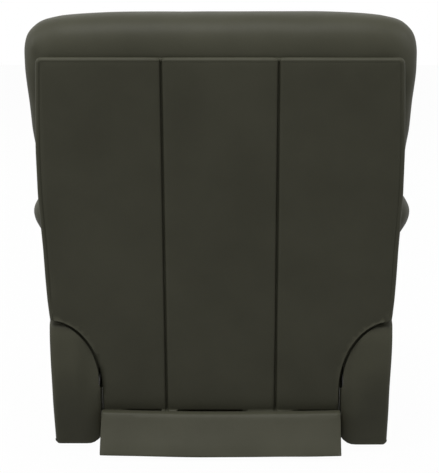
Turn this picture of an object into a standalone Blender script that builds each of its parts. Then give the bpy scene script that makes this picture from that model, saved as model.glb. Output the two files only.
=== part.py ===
"""Power recliner, modelled as the separate pieces that it is built from.

Units are metres and +Z is up. The chair faces -Y, its back is at +Y and the sitter's
left is +X. The origin lies on the floor, under the middle of the chair's outline.
The chair is upright with its footrest closed.
"""
import math

import bmesh
import bpy
from mathutils import Matrix, Vector

SIDES = {"left": 1, "right": -1}

# Clearances
TOUCH = 0.0003
PIVOT_PLAY = 0.0005
SLIDE_PLAY = 0.0005
OVERRUN = 0.010
WELD = 0.0005
MERGE = 0.000001

# Rounding of drawn outlines and turned pieces
ARC_STEPS = 7
BAR_ARC_STEPS = 5
TURNED_SIDES = 16
PIN_SIDES = 10

# Arms
ARM_INNER_X = 0.285
ARM_WIDTH = 0.120
ARM_BOTTOM_Z = 0.0255
ARM_TOP_Z = 0.505
ARM_FRONT_Y = -0.462
ARM_SHOULDER_Y = 0.262
ARM_SHOULDER_Z = 0.360
ARM_HEEL_Y = 0.306
ARM_HEEL_Z = 0.290
ARM_FOOT_Y = 0.298
ARM_EDGE = 0.010
ARM_EDGE_STEPS = 2
ARM_BOARD = 0.020
ARM_PADDING = 0.030
HINGE_POCKET_RADIUS = 0.040
HINGE_POCKET_DEPTH = 0.0045

# Arm pads
PAD_INNER_OVERHANG = 0.006
PAD_OUTER_OVERHANG = 0.061
PAD_THICKNESS = 0.119
PAD_FRONT_OVERHANG = 0.012
PAD_REAR_GAP = 0.004
PAD_CUTS = (6, 10, 4)
PAD_TUCK = 0.040

# Base
GLIDE_HEIGHT = 0.035
GLIDE_RADIUS = 0.021
GLIDE_NECK = 0.013
GLIDE_RIM = 0.006
GLIDE_INSET = 0.035
RAIL_SIZE = 0.030
BASE_REAR_Y = 0.275
CROSS_WIDTH = 0.025
CROSS_INSET = 0.060
REAR_BOARD = 0.015
REAR_BOARD_HEIGHT = 0.062
REAR_BOARD_GAP = 0.007

# Rear valance, the short skirt under the back
VALANCE_GAP = 0.0015
VALANCE_TOP_Z = 0.120
VALANCE_BOTTOM_Z = 0.015
VALANCE_THICKNESS = 0.012
VALANCE_FLARE = 0.043
VALANCE_FOLD_Z = 0.066

# Side plates and flat bars of the mechanism
PLATE = 0.004
BAR = 0.004
LAYER_GAP = 0.001
TILT_BAR = 0.003
BAR_HALF = 0.0095
PIN_RADIUS = 0.004
PIN_HEAD_RADIUS = 0.0075
PIN_HEAD = 0.0022
PIVOT_HEAD_RADIUS = 0.0085
PLATE_FRONT_Y = -0.342
PLATE_CROWN = 0.035
PLATE_REAR_Y = 0.270
PLATE_STRIP = 0.050
PLATE_WEB_Y = 0.150

# Backrest hinge, its range and the lean of the back
BACK_PIVOT_Y = 0.268
BACK_PIVOT_Z = 0.200
BACK_BOSS = 0.0145
BACK_LEAN = math.radians(14)
BACK_RECLINE = math.radians(40)
LEAN_DATUM_Z = 0.300

# Outer back panel
PANEL_REAR_Y = 0.320
PANEL_THICKNESS = 0.015
PANEL_EDGE = 0.008
PANEL_TOP_Z = 0.963
PANEL_INSET = 0.001
PANEL_ROUND = 0.010
TONGUE_GAP = 0.0015
TONGUE_BOTTOM_Z = 0.104
CORNER_TOP_Z = 0.336
CORNER_FOOT_Z = 0.165
CORNER_STEPS = 6
PANEL_GAP = 0.005
SEAM_X = 0.130
SEAM_DEPTH = 0.003
SEAM_HALF = 0.005
WING_INSET = 0.004
WING_GAP = 0.0035
WING_RISE = 0.016
WING_STEP = 0.004

# Back board and brackets
BOARD_THICKNESS = 0.018
FLANGE_LIP = 0.0092
BOARD_INSET = 0.019
BOARD_BOTTOM_Z = 0.178
BOARD_STEP_RISE = 0.010
BOARD_DROP = 0.043
BRACKET_TOP_Z = 0.460
BRACKET_BOTTOM_Z = 0.192
BRACKET_WIDTH = 0.024
FLANGE_BOTTOM_Z = 0.232

# Head pillow and lumbar cushion, measured before the back's lean is added
PILLOW_OVERHANG = 0.047
PILLOW_GAP = 0.005
PILLOW_RISE = 0.097
PILLOW_WIDEST_RISE = 0.007
PILLOW_NARROWING = 0.026
PILLOW_FRONT_Y = 0.040
PILLOW_ROLL_GAP = 0.004
PILLOW_ROLL = 0.0265
PILLOW_CUTS = (16, 6, 12)
BOLSTER_SLOPE = 0.050
PILLOW_CHANNEL_Z = 0.850
PILLOW_CHANNEL_DEPTH = 0.022
PILLOW_CHANNEL_WIDTH = 0.022
LUMBAR_GAP = 0.013
LUMBAR_FOOT_GAP = 0.010
LUMBAR_TOP_Z = 0.738
LUMBAR_FRONT_Y = 0.062
LUMBAR_CUTS = (10, 6, 8)
LUMBAR_TUCK = 0.012
LUMBAR_CLEARANCE = 0.006

# Seat
DECK_THICKNESS = 0.015
DECK_FRONT_Y = -0.400
DECK_REAR_Y = 0.262
CUSHION_GAP = 0.006
CUSHION_FRONT_Y = -0.468
CUSHION_REAR_Y = 0.268
CUSHION_TOP_Z = 0.482
CUSHION_CUTS = (10, 12, 6)
CUSHION_DRAW = 0.005
CUSHION_SEAM_Y = -0.385
CUSHION_SEAM_DEPTH = 0.005
CUSHION_SEAM_WIDTH = 0.012

# Footrest linkage: a double scissor on each side, in (forward, up) from its top pivot
LIFT_PIVOT_Y = -0.300
LIFT_PIVOT_RISE = 0.020
LIFT_AXIS = math.radians(5)
LINK_LENGTH = 0.240
LINK_CLOSED = math.radians(82)
LINK_OPEN = math.radians(20)
TILT_FOOT = 0.149
TILT_LENGTH = 0.122
TILT_CLOSED = math.radians(89.1)
TILT_CRANK = 0.025
TILT_PLAY = 0.0034

# Footrest
FOOT_BRACKET_V = 0.0447
FOOT_FLANGE = 0.024
FOOT_TAB = 0.012
FOOT_FLANGE_START = 0.037
FOOT_FLANGE_END = 0.235
FOOT_STRAP = 0.025
FOOT_STRAP_STARTS = (0.060, 0.190)
FOOT_BOARD = 0.012
FOOT_BOARD_GAP = 0.013
FOOT_BOARD_UP = 0.022
FOOT_BOARD_DOWN = 0.248
FOOT_PAD_GAP = 0.007
FOOT_PAD_FRONT_Y = -0.490
FOOT_PAD_MARGIN = 0.006
FOOT_PAD_CUTS = (10, 4, 8)
FOOT_PAD_CHANNEL = 0.006
FOOT_PAD_CHANNEL_WIDTH = 0.014

# Drive shaft and footrest crank
SHAFT_RADIUS = 0.008
SHAFT_DISTANCE = 0.045
CRANK_RADIUS = 0.120
CRANK = 0.008
CRANK_HALF = 0.011
CRANK_PIN_RADIUS = 0.005

# Backrest drive lug
LUG_RADIUS = 0.070
LUG_HALF = 0.010
LUG_FOOT_HALF_WIDTH = 0.030
LUG_FOOT_HALF_HEIGHT = 0.026

# Actuators
DRIVE_RAIL_WIDTH = 0.024
DRIVE_RAIL = 0.010
BLOCK_HALF_WIDTH = 0.012
BLOCK_HALF_LENGTH = 0.014
BLOCK_HEIGHT = 0.018
CHEEK = 0.006
CHEEK_GAP = 0.002
CHEEK_HALF = 0.015
YOKE_CLEARANCE = 0.002
YOKE_END = 0.007
SCREW_RADIUS = 0.0035
END_BLOCK = 0.008
BLOCK_RUN_OUT = 0.004
MOTOR_HALF = 0.030
MOTOR_LENGTH = 0.070
MOTOR_HEIGHT = 0.056
MOTOR_CAN_RADIUS = 0.024
MOTOR_CAN_LENGTH = 0.092
MOTOR_EDGE = 0.004
LIFT_MOTOR_GAP = 0.130
BACK_RAIL_LENGTH = 0.150
BACK_BLOCK_OFFSET = 0.100
ANGLE_SIZE = 0.025
ANGLE_WALL = 0.003
FRONT_ANGLE_Y = -0.250
MOTOR_ANGLE_INSET = 0.022
BACK_ANGLE_Y = 0.085

# Controls on the outside of the right arm
BEZEL_CENTRE_Y = -0.300
BEZEL_CENTRE_Z = 0.420
BEZEL_LENGTH = 0.128
BEZEL_HEIGHT = 0.040
BEZEL_THICKNESS = 0.003
BEZEL_RADIUS = 0.012
BUTTON_RADIUS = 0.009
BUTTON_PITCH = 0.028
BUTTON_COUNT = 4
BUTTON_PROUD = 0.003
BUTTON_TRAVEL = 0.0015
BUTTON_FLANGE_RADIUS = 0.0105
BUTTON_FLANGE = 0.0015
BUTTON_POCKET_DEPTH = 0.010
BUTTON_POCKET_MARGIN = 0.006
BUTTON_STEM_RADIUS = 0.004

# Power inlet under the rear cross rail
INLET_HALF_WIDTH = 0.018
INLET_LENGTH = 0.028
INLET_HEIGHT = 0.020
INLET_SOCKET_HALF_WIDTH = 0.0075
INLET_SOCKET_HEIGHT = 0.009
INLET_SOCKET_DEPTH = 0.012
INLET_X = 0.140

# Places worked out from the sizes above
ARM_OUTER_X = ARM_INNER_X + ARM_WIDTH
PAD_INNER_X = ARM_INNER_X - PAD_INNER_OVERHANG
PAD_OUTER_X = ARM_OUTER_X + PAD_OUTER_OVERHANG
PAD_TOP_Z = ARM_TOP_Z + PAD_THICKNESS
PAD_FRONT_Y = ARM_FRONT_Y - PAD_FRONT_OVERHANG
PAD_REAR_Y = ARM_SHOULDER_Y - PAD_REAR_GAP
REAR_BOARD_HALF = ARM_INNER_X - REAR_BOARD_GAP
VALANCE_HALF = ARM_INNER_X - VALANCE_GAP
PANEL_HALF = ARM_OUTER_X - PANEL_INSET
TONGUE_HALF = ARM_INNER_X - TONGUE_GAP
WING_INNER_X = ARM_INNER_X + WING_INSET
WING_TOP_Z = PAD_TOP_Z + WING_RISE
BOARD_UPPER_HALF = PANEL_HALF - BOARD_INSET
BOARD_STEP_Z = WING_TOP_Z + BOARD_STEP_RISE
BOARD_TOP_Z = PANEL_TOP_Z - BOARD_DROP
PILLOW_HALF = PANEL_HALF + PILLOW_OVERHANG
PILLOW_BOTTOM_Z = WING_TOP_Z + PILLOW_GAP
PILLOW_TOP_Z = PANEL_TOP_Z + PILLOW_RISE
PILLOW_WIDEST_Z = PANEL_TOP_Z + PILLOW_WIDEST_RISE
PILLOW_ROLL_Z = PANEL_TOP_Z + PILLOW_ROLL_GAP
LUMBAR_HALF = ARM_INNER_X - LUMBAR_GAP
LUMBAR_BOTTOM_Z = CUSHION_TOP_Z + LUMBAR_FOOT_GAP
CUSHION_HALF = ARM_INNER_X - CUSHION_GAP
FOOT_BOARD_HALF = ARM_INNER_X - FOOT_BOARD_GAP
FOOT_PAD_HALF = ARM_INNER_X - FOOT_PAD_GAP
PLATE_OUTER_X = ARM_INNER_X - TOUCH
PLATE_INNER_X = PLATE_OUTER_X - PLATE
BRACKET_INNER_X = PLATE_OUTER_X - PLATE - LAYER_GAP - BAR
BOARD_HALF = BRACKET_INNER_X - FLANGE_LIP
RAIL_OUTER_X = PLATE_INNER_X - TOUCH
RAIL_INNER_X = RAIL_OUTER_X - RAIL_SIZE
RAIL_TOP_Z = GLIDE_HEIGHT + RAIL_SIZE
LIFT_PIVOT_Z = RAIL_TOP_Z + LIFT_PIVOT_RISE + LINK_LENGTH
PLATE_TOP_Z = LIFT_PIVOT_Z + PLATE_CROWN
CRANK_PIN_HALF = CRANK / 2 + CHEEK_GAP + CHEEK
LINK_TURN = LINK_CLOSED - LINK_OPEN
DECK_BOTTOM_Z = PLATE_TOP_Z + TOUCH
DECK_TOP_Z = DECK_BOTTOM_Z + DECK_THICKNESS


def clear_scene():
    for old in list(bpy.data.objects):
        bpy.data.objects.remove(old, do_unlink=True)


def finish(name, colour, roughness, metallic=0.0):
    """A plain material from a linear colour."""
    material = bpy.data.materials.new(name)
    material.use_nodes = True
    shader = material.node_tree.nodes["Principled BSDF"]
    shader.inputs["Base Color"].default_value = (*colour, 1.0)
    shader.inputs["Roughness"].default_value = roughness
    shader.inputs["Metallic"].default_value = metallic
    material.diffuse_color = (*colour, 1.0)
    return material


def place(name, mesh, material, pivot=None):
    """Put a mesh, drawn in world coordinates, into the scene under its own pivot."""
    piece = bpy.data.objects.new(name, mesh)
    bpy.context.scene.collection.objects.link(piece)
    mesh.materials.clear()
    mesh.materials.append(material)
    if pivot is not None:
        piece.parent = pivot
        piece.matrix_parent_inverse = Matrix.Translation(-pivot.location)
    return piece


def pivot_at(name, x, y, z):
    """An empty on a joint's axis, given in world coordinates."""
    empty = bpy.data.objects.new(name, None)
    bpy.context.scene.collection.objects.link(empty)
    empty.location = (x, y, z)
    return empty


def arc(centre, radius, start, end, steps=ARC_STEPS):
    """Points on an arc, from one angle to another, ends included."""
    points = []
    for step in range(steps + 1):
        angle = start + (end - start) * step / steps
        points.append((centre[0] + radius * math.cos(angle), centre[1] + radius * math.sin(angle)))
    return points


def circle(centre, radius, sides=TURNED_SIDES):
    return arc(centre, radius, 0, 2 * math.pi * (sides - 1) / sides, sides - 1)


def bar_outline(start, end, half):
    """A flat bar with round ends, between two points."""
    heading = math.atan2(end[1] - start[1], end[0] - start[0])
    quarter = math.pi / 2
    far = arc(end, half, heading - quarter, heading + quarter, BAR_ARC_STEPS)
    near = arc(start, half, heading + quarter, heading + 3 * quarter, BAR_ARC_STEPS)
    return far + near


def rounded(points, radius, steps=3):
    """Round each corner of an outline by cutting it with a short curve."""
    result = []
    count = len(points)
    for index, corner in enumerate(points):
        here = Vector(corner)
        before = Vector(points[index - 1]) - here
        after = Vector(points[(index + 1) % count]) - here
        reach = min(radius, before.length / 2.1, after.length / 2.1)
        start = here + before.normalized() * reach
        end = here + after.normalized() * reach
        for step in range(steps + 1):
            share = step / steps
            point = start * (1 - share) ** 2 + here * 2 * share * (1 - share) + end * share ** 2
            result.append((point.x, point.y))
    return result


def box_outline(low_a, low_b, high_a, high_b):
    return [(low_a, low_b), (high_a, low_b), (high_a, high_b), (low_a, high_b)]


def sheet_mesh(outline, holes, low, high, axis="X"):
    """Extrude an outline, with holes, between two places along an axis.

    Along X the outline is (y, z), along Y it is (x, z) and along Z it is (x, y).
    """
    curve = bpy.data.curves.new("outline", "CURVE")
    curve.dimensions = "2D"
    curve.fill_mode = "BOTH"
    curve.extrude = (high - low) / 2
    for loop in [outline] + list(holes):
        spline = curve.splines.new("POLY")
        spline.points.add(len(loop) - 1)
        for point, (a, b) in zip(spline.points, loop):
            point.co = (a, b, 0, 1)
        spline.use_cyclic_u = True
    middle = (low + high) / 2
    guide = bpy.data.objects.new("outline", curve)
    bpy.context.scene.collection.objects.link(guide)
    mesh = bpy.data.meshes.new_from_object(guide.evaluated_get(bpy.context.evaluated_depsgraph_get()))
    turns = {
        "X": Matrix(((0, 0, 1, middle), (1, 0, 0, 0), (0, 1, 0, 0), (0, 0, 0, 1))),
        "Y": Matrix(((1, 0, 0, 0), (0, 0, -1, middle), (0, 1, 0, 0), (0, 0, 0, 1))),
        "Z": Matrix(((1, 0, 0, 0), (0, 1, 0, 0), (0, 0, 1, middle), (0, 0, 0, 1))),
    }
    mesh.transform(turns[axis])
    bpy.data.objects.remove(guide, do_unlink=True)
    bpy.data.curves.remove(curve)
    weld_and_face_out(mesh)
    return mesh


def weld_and_face_out(mesh):
    shape = bmesh.new()
    shape.from_mesh(mesh)
    bmesh.ops.remove_doubles(shape, verts=shape.verts, dist=MERGE)
    bmesh.ops.recalc_face_normals(shape, faces=shape.faces)
    shape.to_mesh(mesh)
    shape.free()


def box_mesh(low, high):
    outline = box_outline(low[1], low[2], high[1], high[2])
    return sheet_mesh(outline, [], low[0], high[0])


def soften(mesh, width, steps, limit=math.radians(50)):
    """Bevel the sharp edges of a mesh."""
    shape = bmesh.new()
    shape.from_mesh(mesh)
    bmesh.ops.dissolve_limit(shape, angle_limit=math.radians(1), verts=shape.verts, edges=shape.edges)
    sharp = [edge for edge in shape.edges if edge.is_convex and edge.calc_face_angle(0) > limit]
    bmesh.ops.bevel(shape, geom=sharp, offset=width, segments=steps, profile=0.5, affect="EDGES")
    bmesh.ops.recalc_face_normals(shape, faces=shape.faces)
    shape.to_mesh(mesh)
    shape.free()
    return mesh


def turned_mesh(axis, places, sides=TURNED_SIDES):
    """A turned piece along X: axis is its (y, z), places are (x, radius) from end to end."""
    shape = bmesh.new()
    rings = []
    for x, radius in places:
        ring = [shape.verts.new((x, y, z)) for y, z in circle(axis, radius, sides)]
        rings.append(ring)
    for near, far in zip(rings, rings[1:]):
        for side in range(sides):
            following = (side + 1) % sides
            shape.faces.new((near[side], near[following], far[following], far[side]))
    shape.faces.new(rings[0])
    shape.faces.new(rings[-1])
    bmesh.ops.recalc_face_normals(shape, faces=shape.faces)
    mesh = bpy.data.meshes.new("turned")
    shape.to_mesh(mesh)
    shape.free()
    return mesh


def combined(mesh, others, operation):
    """Join other meshes to a mesh, or cut them from it."""
    base = bpy.data.objects.new("base", mesh)
    bpy.context.scene.collection.objects.link(base)
    helpers = [base]
    for other in others:
        tool = bpy.data.objects.new("tool", other)
        bpy.context.scene.collection.objects.link(tool)
        tool.hide_render = True
        tool.display_type = "WIRE"
        step = base.modifiers.new("step", "BOOLEAN")
        step.object = tool
        step.operation = operation
        step.solver = "EXACT"
        helpers.append(tool)
    result = bpy.data.meshes.new_from_object(base.evaluated_get(bpy.context.evaluated_depsgraph_get()))
    for helper in helpers:
        bpy.data.objects.remove(helper, do_unlink=True)
    return result


def fused(mesh, others):
    return combined(mesh, others, "UNION")


def cut(mesh, others):
    return combined(mesh, others, "DIFFERENCE")


def power_round(values, powers):
    """Scale a point of a unit box onto a rounded box: two ring axes first, then the last."""
    ring_power, end_power = powers
    first, second, last = (abs(value) for value in values)
    ring = (first ** ring_power + second ** ring_power) ** (1 / ring_power)
    return (ring ** end_power + last ** end_power) ** (1 / end_power)


def cushion_mesh(low, high, cuts, end_axis, powers, shape_point):
    """A crowned closed form in a box, with a last step that shapes each point.

    powers gives how square the form is across its end axis and towards its ends.
    """
    shape = bmesh.new()
    found = {}

    def corner(key):
        if key not in found:
            unit = [2 * step / count - 1 for step, count in zip(key, cuts)]
            order = [axis for axis in range(3) if axis != end_axis] + [end_axis]
            scale = power_round([unit[axis] for axis in order], powers)
            unit = [value / scale for value in unit]
            centre = [(a + b) / 2 for a, b in zip(low, high)]
            half = [(b - a) / 2 for a, b in zip(low, high)]
            point = Vector([c + h * u for c, h, u in zip(centre, half, unit)])
            found[key] = shape.verts.new(shape_point(point, unit))
        return found[key]

    for axis in range(3):
        across, along = [other for other in range(3) if other != axis]
        for end in (0, cuts[axis]):
            for a in range(cuts[across]):
                for b in range(cuts[along]):
                    keys = []
                    for step_a, step_b in ((0, 0), (1, 0), (1, 1), (0, 1)):
                        key = [0, 0, 0]
                        key[axis] = end
                        key[across] = a + step_a
                        key[along] = b + step_b
                        keys.append(tuple(key))
                    shape.faces.new([corner(key) for key in keys])
    bmesh.ops.recalc_face_normals(shape, faces=shape.faces)
    mesh = bpy.data.meshes.new("cushion")
    shape.to_mesh(mesh)
    shape.free()
    mesh.shade_smooth()
    return mesh


def groove(distance, width):
    """One on a seam and falling to zero beside it."""
    return math.exp(-(distance / width) ** 2)


def leaned(y, z):
    """Add the back's lean to a place that was measured on an upright back."""
    return y + (z - LEAN_DATUM_Z) * math.tan(BACK_LEAN)


def both_sides():
    return SIDES.items()


def span(side, inner, outer):
    """Low and high x of a piece on one side of the chair."""
    return (inner, outer) if side > 0 else (-outer, -inner)


def layer(number, thickness=BAR):
    """Inner and outer x of a flat bar in one of the mechanism's layers, plate first."""
    outer = PLATE_OUTER_X - number * (PLATE + LAYER_GAP)
    if number == 0:
        outer = PLATE_OUTER_X - LAYER_GAP
    return outer - thickness, outer


def arm_rear(z):
    """The y of the arm's rear face at a height."""
    if z > ARM_SHOULDER_Z - TOUCH:
        return ARM_SHOULDER_Y
    if z <= ARM_HEEL_Z:
        share = (z - ARM_BOTTOM_Z) / (ARM_HEEL_Z - ARM_BOTTOM_Z)
        return ARM_FOOT_Y + (ARM_HEEL_Y - ARM_FOOT_Y) * share
    share = (z - ARM_HEEL_Z) / (ARM_SHOULDER_Z - ARM_HEEL_Z)
    return ARM_SHOULDER_Y + (ARM_HEEL_Y - ARM_SHOULDER_Y) * math.sqrt(1 - share ** 2)


def shoulder_heights():
    """Heights of the points that draw the round rear of an arm."""
    rise = ARM_SHOULDER_Z - ARM_HEEL_Z
    return [ARM_HEEL_Z + rise * math.sin(math.pi / 2 * step / ARC_STEPS) for step in range(ARC_STEPS + 1)]


def arm_outline():
    """Side view of an arm, from its front foot round to its front top."""
    foot = [(ARM_FRONT_Y, ARM_BOTTOM_Z), (ARM_FOOT_Y, ARM_BOTTOM_Z)]
    points = [(arm_rear(z), z) for z in shoulder_heights()]
    top = [(ARM_SHOULDER_Y, ARM_TOP_Z), (ARM_FRONT_Y, ARM_TOP_Z)]
    return foot + points + top


def corner_curve(offset):
    """The rounded lower corner of the back panel, moved outwards by an offset, as (x, z)."""
    width = PANEL_HALF - TONGUE_HALF
    height = CORNER_TOP_Z - CORNER_FOOT_Z
    points = []
    for step in range(CORNER_STEPS + 1):
        angle = math.pi / 2 * step / CORNER_STEPS
        x = PANEL_HALF - width * math.cos(angle)
        z = CORNER_FOOT_Z + height * math.sin(angle)
        normal = Vector((math.cos(angle) / width, -math.sin(angle) / height)).normalized()
        points.append((x + offset * normal.x, z + offset * normal.y))
    return points


def arm_rebate(side):
    """The space that the back panel's corner needs at the arm's rear."""
    curve = corner_curve(PANEL_GAP)
    outer = ARM_OUTER_X + OVERRUN
    inner = ARM_INNER_X - OVERRUN
    top = CORNER_TOP_Z + OVERRUN
    outline = [(inner, curve[0][1])] + curve + [(outer, curve[-1][1]), (outer, top), (inner, top)]
    outline = [(side * x, z) for x, z in outline]
    depth = PANEL_REAR_Y - PANEL_EDGE - WING_GAP
    return lean_mesh(sheet_mesh(outline, [], depth, PANEL_REAR_Y + CORNER_FOOT_Z, "Y"))


def hinge_pocket(side):
    """A shallow round pocket in the arm, where the back's corner swings past it."""
    ends = (ARM_INNER_X - OVERRUN, ARM_INNER_X + HINGE_POCKET_DEPTH)
    places = [(side * x, HINGE_POCKET_RADIUS) for x in ends]
    return turned_mesh((BACK_PIVOT_Y, BACK_PIVOT_Z), places)


def build_arms(leather, plywood):
    for name, side in both_sides():
        low, high = span(side, ARM_INNER_X, ARM_OUTER_X)
        cover = sheet_mesh(arm_outline(), [], low, high)
        cover = soften(cover, ARM_EDGE, ARM_EDGE_STEPS)
        middle = (ARM_INNER_X + ARM_OUTER_X) / 2
        board_x = span(side, middle - ARM_BOARD / 2, middle + ARM_BOARD / 2)
        front = ARM_FRONT_Y + ARM_PADDING
        rear = ARM_SHOULDER_Y - ARM_PADDING
        top = ARM_TOP_Z - ARM_PADDING
        board = box_mesh((board_x[0], front, ARM_BOTTOM_Z), (board_x[1], rear, top))
        slot_low = (board_x[0] - TOUCH, front - TOUCH, ARM_BOTTOM_Z - OVERRUN)
        slot_high = (board_x[1] + TOUCH, rear + TOUCH, top + TOUCH)
        tools = [box_mesh(slot_low, slot_high), arm_rebate(side), hinge_pocket(side)]
        if name == "right":
            tools.append(button_pocket())
        cover = cut(cover, tools)
        place("arm_cover_" + name, cover, leather)
        place("arm_frame_" + name, board, plywood)
        build_arm_pad(name, side, leather)


def build_arm_pad(name, side, leather):
    low_x, high_x = span(side, PAD_INNER_X, PAD_OUTER_X)
    seat = ARM_TOP_Z + TOUCH

    def shape_point(point, unit):
        outwards = side * point.x
        if point.z < seat:
            point.z = seat
        rise = (point.z - seat) / (PAD_TOP_Z - seat)
        if outwards > ARM_OUTER_X:
            point.x -= side * PAD_TUCK * (1 - rise) ** 2
        return point

    lowest = seat - (PAD_TOP_Z - seat) / 4
    low = (low_x, PAD_FRONT_Y, lowest)
    high = (high_x, PAD_REAR_Y, PAD_TOP_Z)
    mesh = cushion_mesh(low, high, PAD_CUTS, 1, (2.6, 5), shape_point)
    place("arm_pad_" + name, mesh, leather)


def rail_mesh(outline_low, outline_high):
    return soften(box_mesh(outline_low, outline_high), WELD * 4, 1)


def build_base(wood, steel, plastic):
    for name, side in both_sides():
        low, high = span(side, RAIL_INNER_X, RAIL_OUTER_X)
        mesh = rail_mesh((low, PLATE_FRONT_Y, GLIDE_HEIGHT), (high, BASE_REAR_Y, RAIL_TOP_Z))
        place("base_rail_" + name, mesh, wood)
    half = RAIL_INNER_X - TOUCH
    crosses = {
        "front": PLATE_FRONT_Y + CROSS_INSET,
        "rear": BASE_REAR_Y - CROSS_WIDTH,
    }
    for name, start in crosses.items():
        mesh = rail_mesh((-half, start, GLIDE_HEIGHT), (half, start + CROSS_WIDTH, RAIL_TOP_Z))
        place("cross_rail_" + name, mesh, wood)
    glide_x = (RAIL_INNER_X + RAIL_OUTER_X) / 2
    places = {"front": PLATE_FRONT_Y + GLIDE_INSET, "rear": BASE_REAR_Y - GLIDE_INSET}
    for side_name, side in both_sides():
        for end_name, y in places.items():
            glide = place("glide_" + end_name + "_" + side_name, glide_mesh(), plastic)
            glide.location = (side * glide_x, y, 0)
    board_low = (-REAR_BOARD_HALF, BASE_REAR_Y + TOUCH, GLIDE_HEIGHT)
    board_high = (REAR_BOARD_HALF, BASE_REAR_Y + TOUCH + REAR_BOARD, GLIDE_HEIGHT + REAR_BOARD_HEIGHT)
    place("rear_board", box_mesh(board_low, board_high), wood)
    build_side_plates(steel)


def glide_mesh():
    """A foot turned about Z: a flat disc, a neck and a top flange."""
    top = GLIDE_HEIGHT - TOUCH
    profile = [
        (0, GLIDE_RADIUS - GLIDE_RIM / 3),
        (GLIDE_RIM / 3, GLIDE_RADIUS),
        (GLIDE_RIM, GLIDE_RADIUS),
        (2 * GLIDE_RIM, GLIDE_NECK),
        (top, GLIDE_NECK),
    ]
    mesh = turned_mesh((0, 0), profile)
    mesh.transform(Matrix(((0, 0, 1, 0), (0, 1, 0, 0), (1, 0, 0, 0), (0, 0, 0, 1))))
    weld_and_face_out(mesh)
    return mesh


def heading(angle):
    return Vector((math.cos(angle), math.sin(angle)))


def linkage():
    """The footrest linkage's points with the footrest closed, as (forward, up)."""
    across = heading(LIFT_AXIS + math.pi / 2)
    down = heading(LIFT_AXIS - LINK_CLOSED)
    up = heading(LIFT_AXIS + LINK_CLOSED)
    points = {"lift": Vector((0, 0))}
    points["shaft"] = points["lift"] + SHAFT_DISTANCE * down
    points["first_cross"] = points["lift"] + LINK_LENGTH / 2 * down
    points["lower"] = points["lift"] + LINK_LENGTH * down
    points["slider"] = -LINK_LENGTH * math.sin(LINK_CLOSED) * across
    points["slider_open"] = -LINK_LENGTH * math.sin(LINK_OPEN) * across
    points["upper"] = points["slider"] + LINK_LENGTH * up
    points["second_cross"] = points["lower"] + LINK_LENGTH / 2 * up
    points["foot"] = points["lower"] + LINK_LENGTH * up
    points["tilt_foot"] = points["upper"] + TILT_FOOT * down
    points["tilt_top"] = points["tilt_foot"] + TILT_LENGTH * heading(TILT_CLOSED)
    points["tilt_hole"] = points["foot"] + TILT_CRANK * heading(-math.pi / 2)
    middle = -math.pi / 2 - LINK_TURN / 2
    points["crank"] = CRANK_RADIUS * heading(middle)
    points["crank_open"] = CRANK_RADIUS * heading(middle + LINK_TURN)
    return points


def world(point):
    """A (forward, up) point of the linkage as (y, z)."""
    return (LIFT_PIVOT_Y - point[0], LIFT_PIVOT_Z + point[1])


def pin_mesh(side, centre, start_layer, end_layer, head_radius=PIN_HEAD_RADIUS, radius=PIN_RADIUS):
    """A pin that stands inwards from one layer, passes to another and ends in a head."""
    root = layer(start_layer)[0] + BAR / 2
    stop = layer(end_layer)[0] - LAYER_GAP / 2
    places = [(root, radius), (stop, radius), (stop, head_radius), (stop - PIN_HEAD, head_radius)]
    return turned_mesh(centre, [(side * x, r) for x, r in places], PIN_SIDES)


def bar_mesh(side, start, end, number, holes, thickness=BAR):
    low, high = span(side, *layer(number, thickness))
    sides = PIN_SIDES
    loops = [circle(centre, PIN_RADIUS + play, sides) for centre, play in holes]
    return sheet_mesh(bar_outline(start, end, BAR_HALF), loops, low, high)


def plate_outline():
    """Side view of a side plate, round its foot, the back pivot and its top."""
    boss = arc((BACK_PIVOT_Y, BACK_PIVOT_Z), BACK_BOSS, -math.pi / 2, math.pi / 6)
    strip_top = GLIDE_HEIGHT + PLATE_STRIP
    points = [(PLATE_FRONT_Y, GLIDE_HEIGHT), (BASE_REAR_Y, GLIDE_HEIGHT), (BASE_REAR_Y, strip_top)]
    points += [(PLATE_WEB_Y, strip_top), (PLATE_WEB_Y, BACK_PIVOT_Z - BACK_BOSS)]
    points += boss
    points += [(PLATE_REAR_Y, PLATE_TOP_Z), (PLATE_FRONT_Y, PLATE_TOP_Z)]
    return points


def build_side_plates(steel):
    points = linkage()
    slot = bar_outline(world(points["slider"]), world(points["slider_open"]), PIN_RADIUS + SLIDE_PLAY)
    for name, side in both_sides():
        low, high = span(side, PLATE_INNER_X, PLATE_OUTER_X)
        plate = sheet_mesh(plate_outline(), [slot], low, high)
        pins = []
        for centre in (world(points["lift"]), (BACK_PIVOT_Y, BACK_PIVOT_Z)):
            root = PLATE_INNER_X + PLATE / 2
            stop = layer(1)[0] - LAYER_GAP / 2
            places = [(root, PIN_RADIUS), (stop, PIN_RADIUS)]
            places += [(stop, PIVOT_HEAD_RADIUS), (stop - PIN_HEAD, PIVOT_HEAD_RADIUS)]
            pins.append(turned_mesh(centre, [(side * x, r) for x, r in places], PIN_SIDES))
        place("side_plate_" + name, fused(plate, pins), steel)


def angle_mesh(y, top):
    """A steel angle across the chair, flat side up, its leg at the front."""
    outline = [
        (y, top),
        (y, top - ANGLE_SIZE),
        (y + ANGLE_WALL, top - ANGLE_SIZE),
        (y + ANGLE_WALL, top - ANGLE_WALL),
        (y + ANGLE_SIZE, top - ANGLE_WALL),
        (y + ANGLE_SIZE, top),
    ]
    half = PLATE_INNER_X - TOUCH
    return sheet_mesh(outline, [], -half, half)


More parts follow.
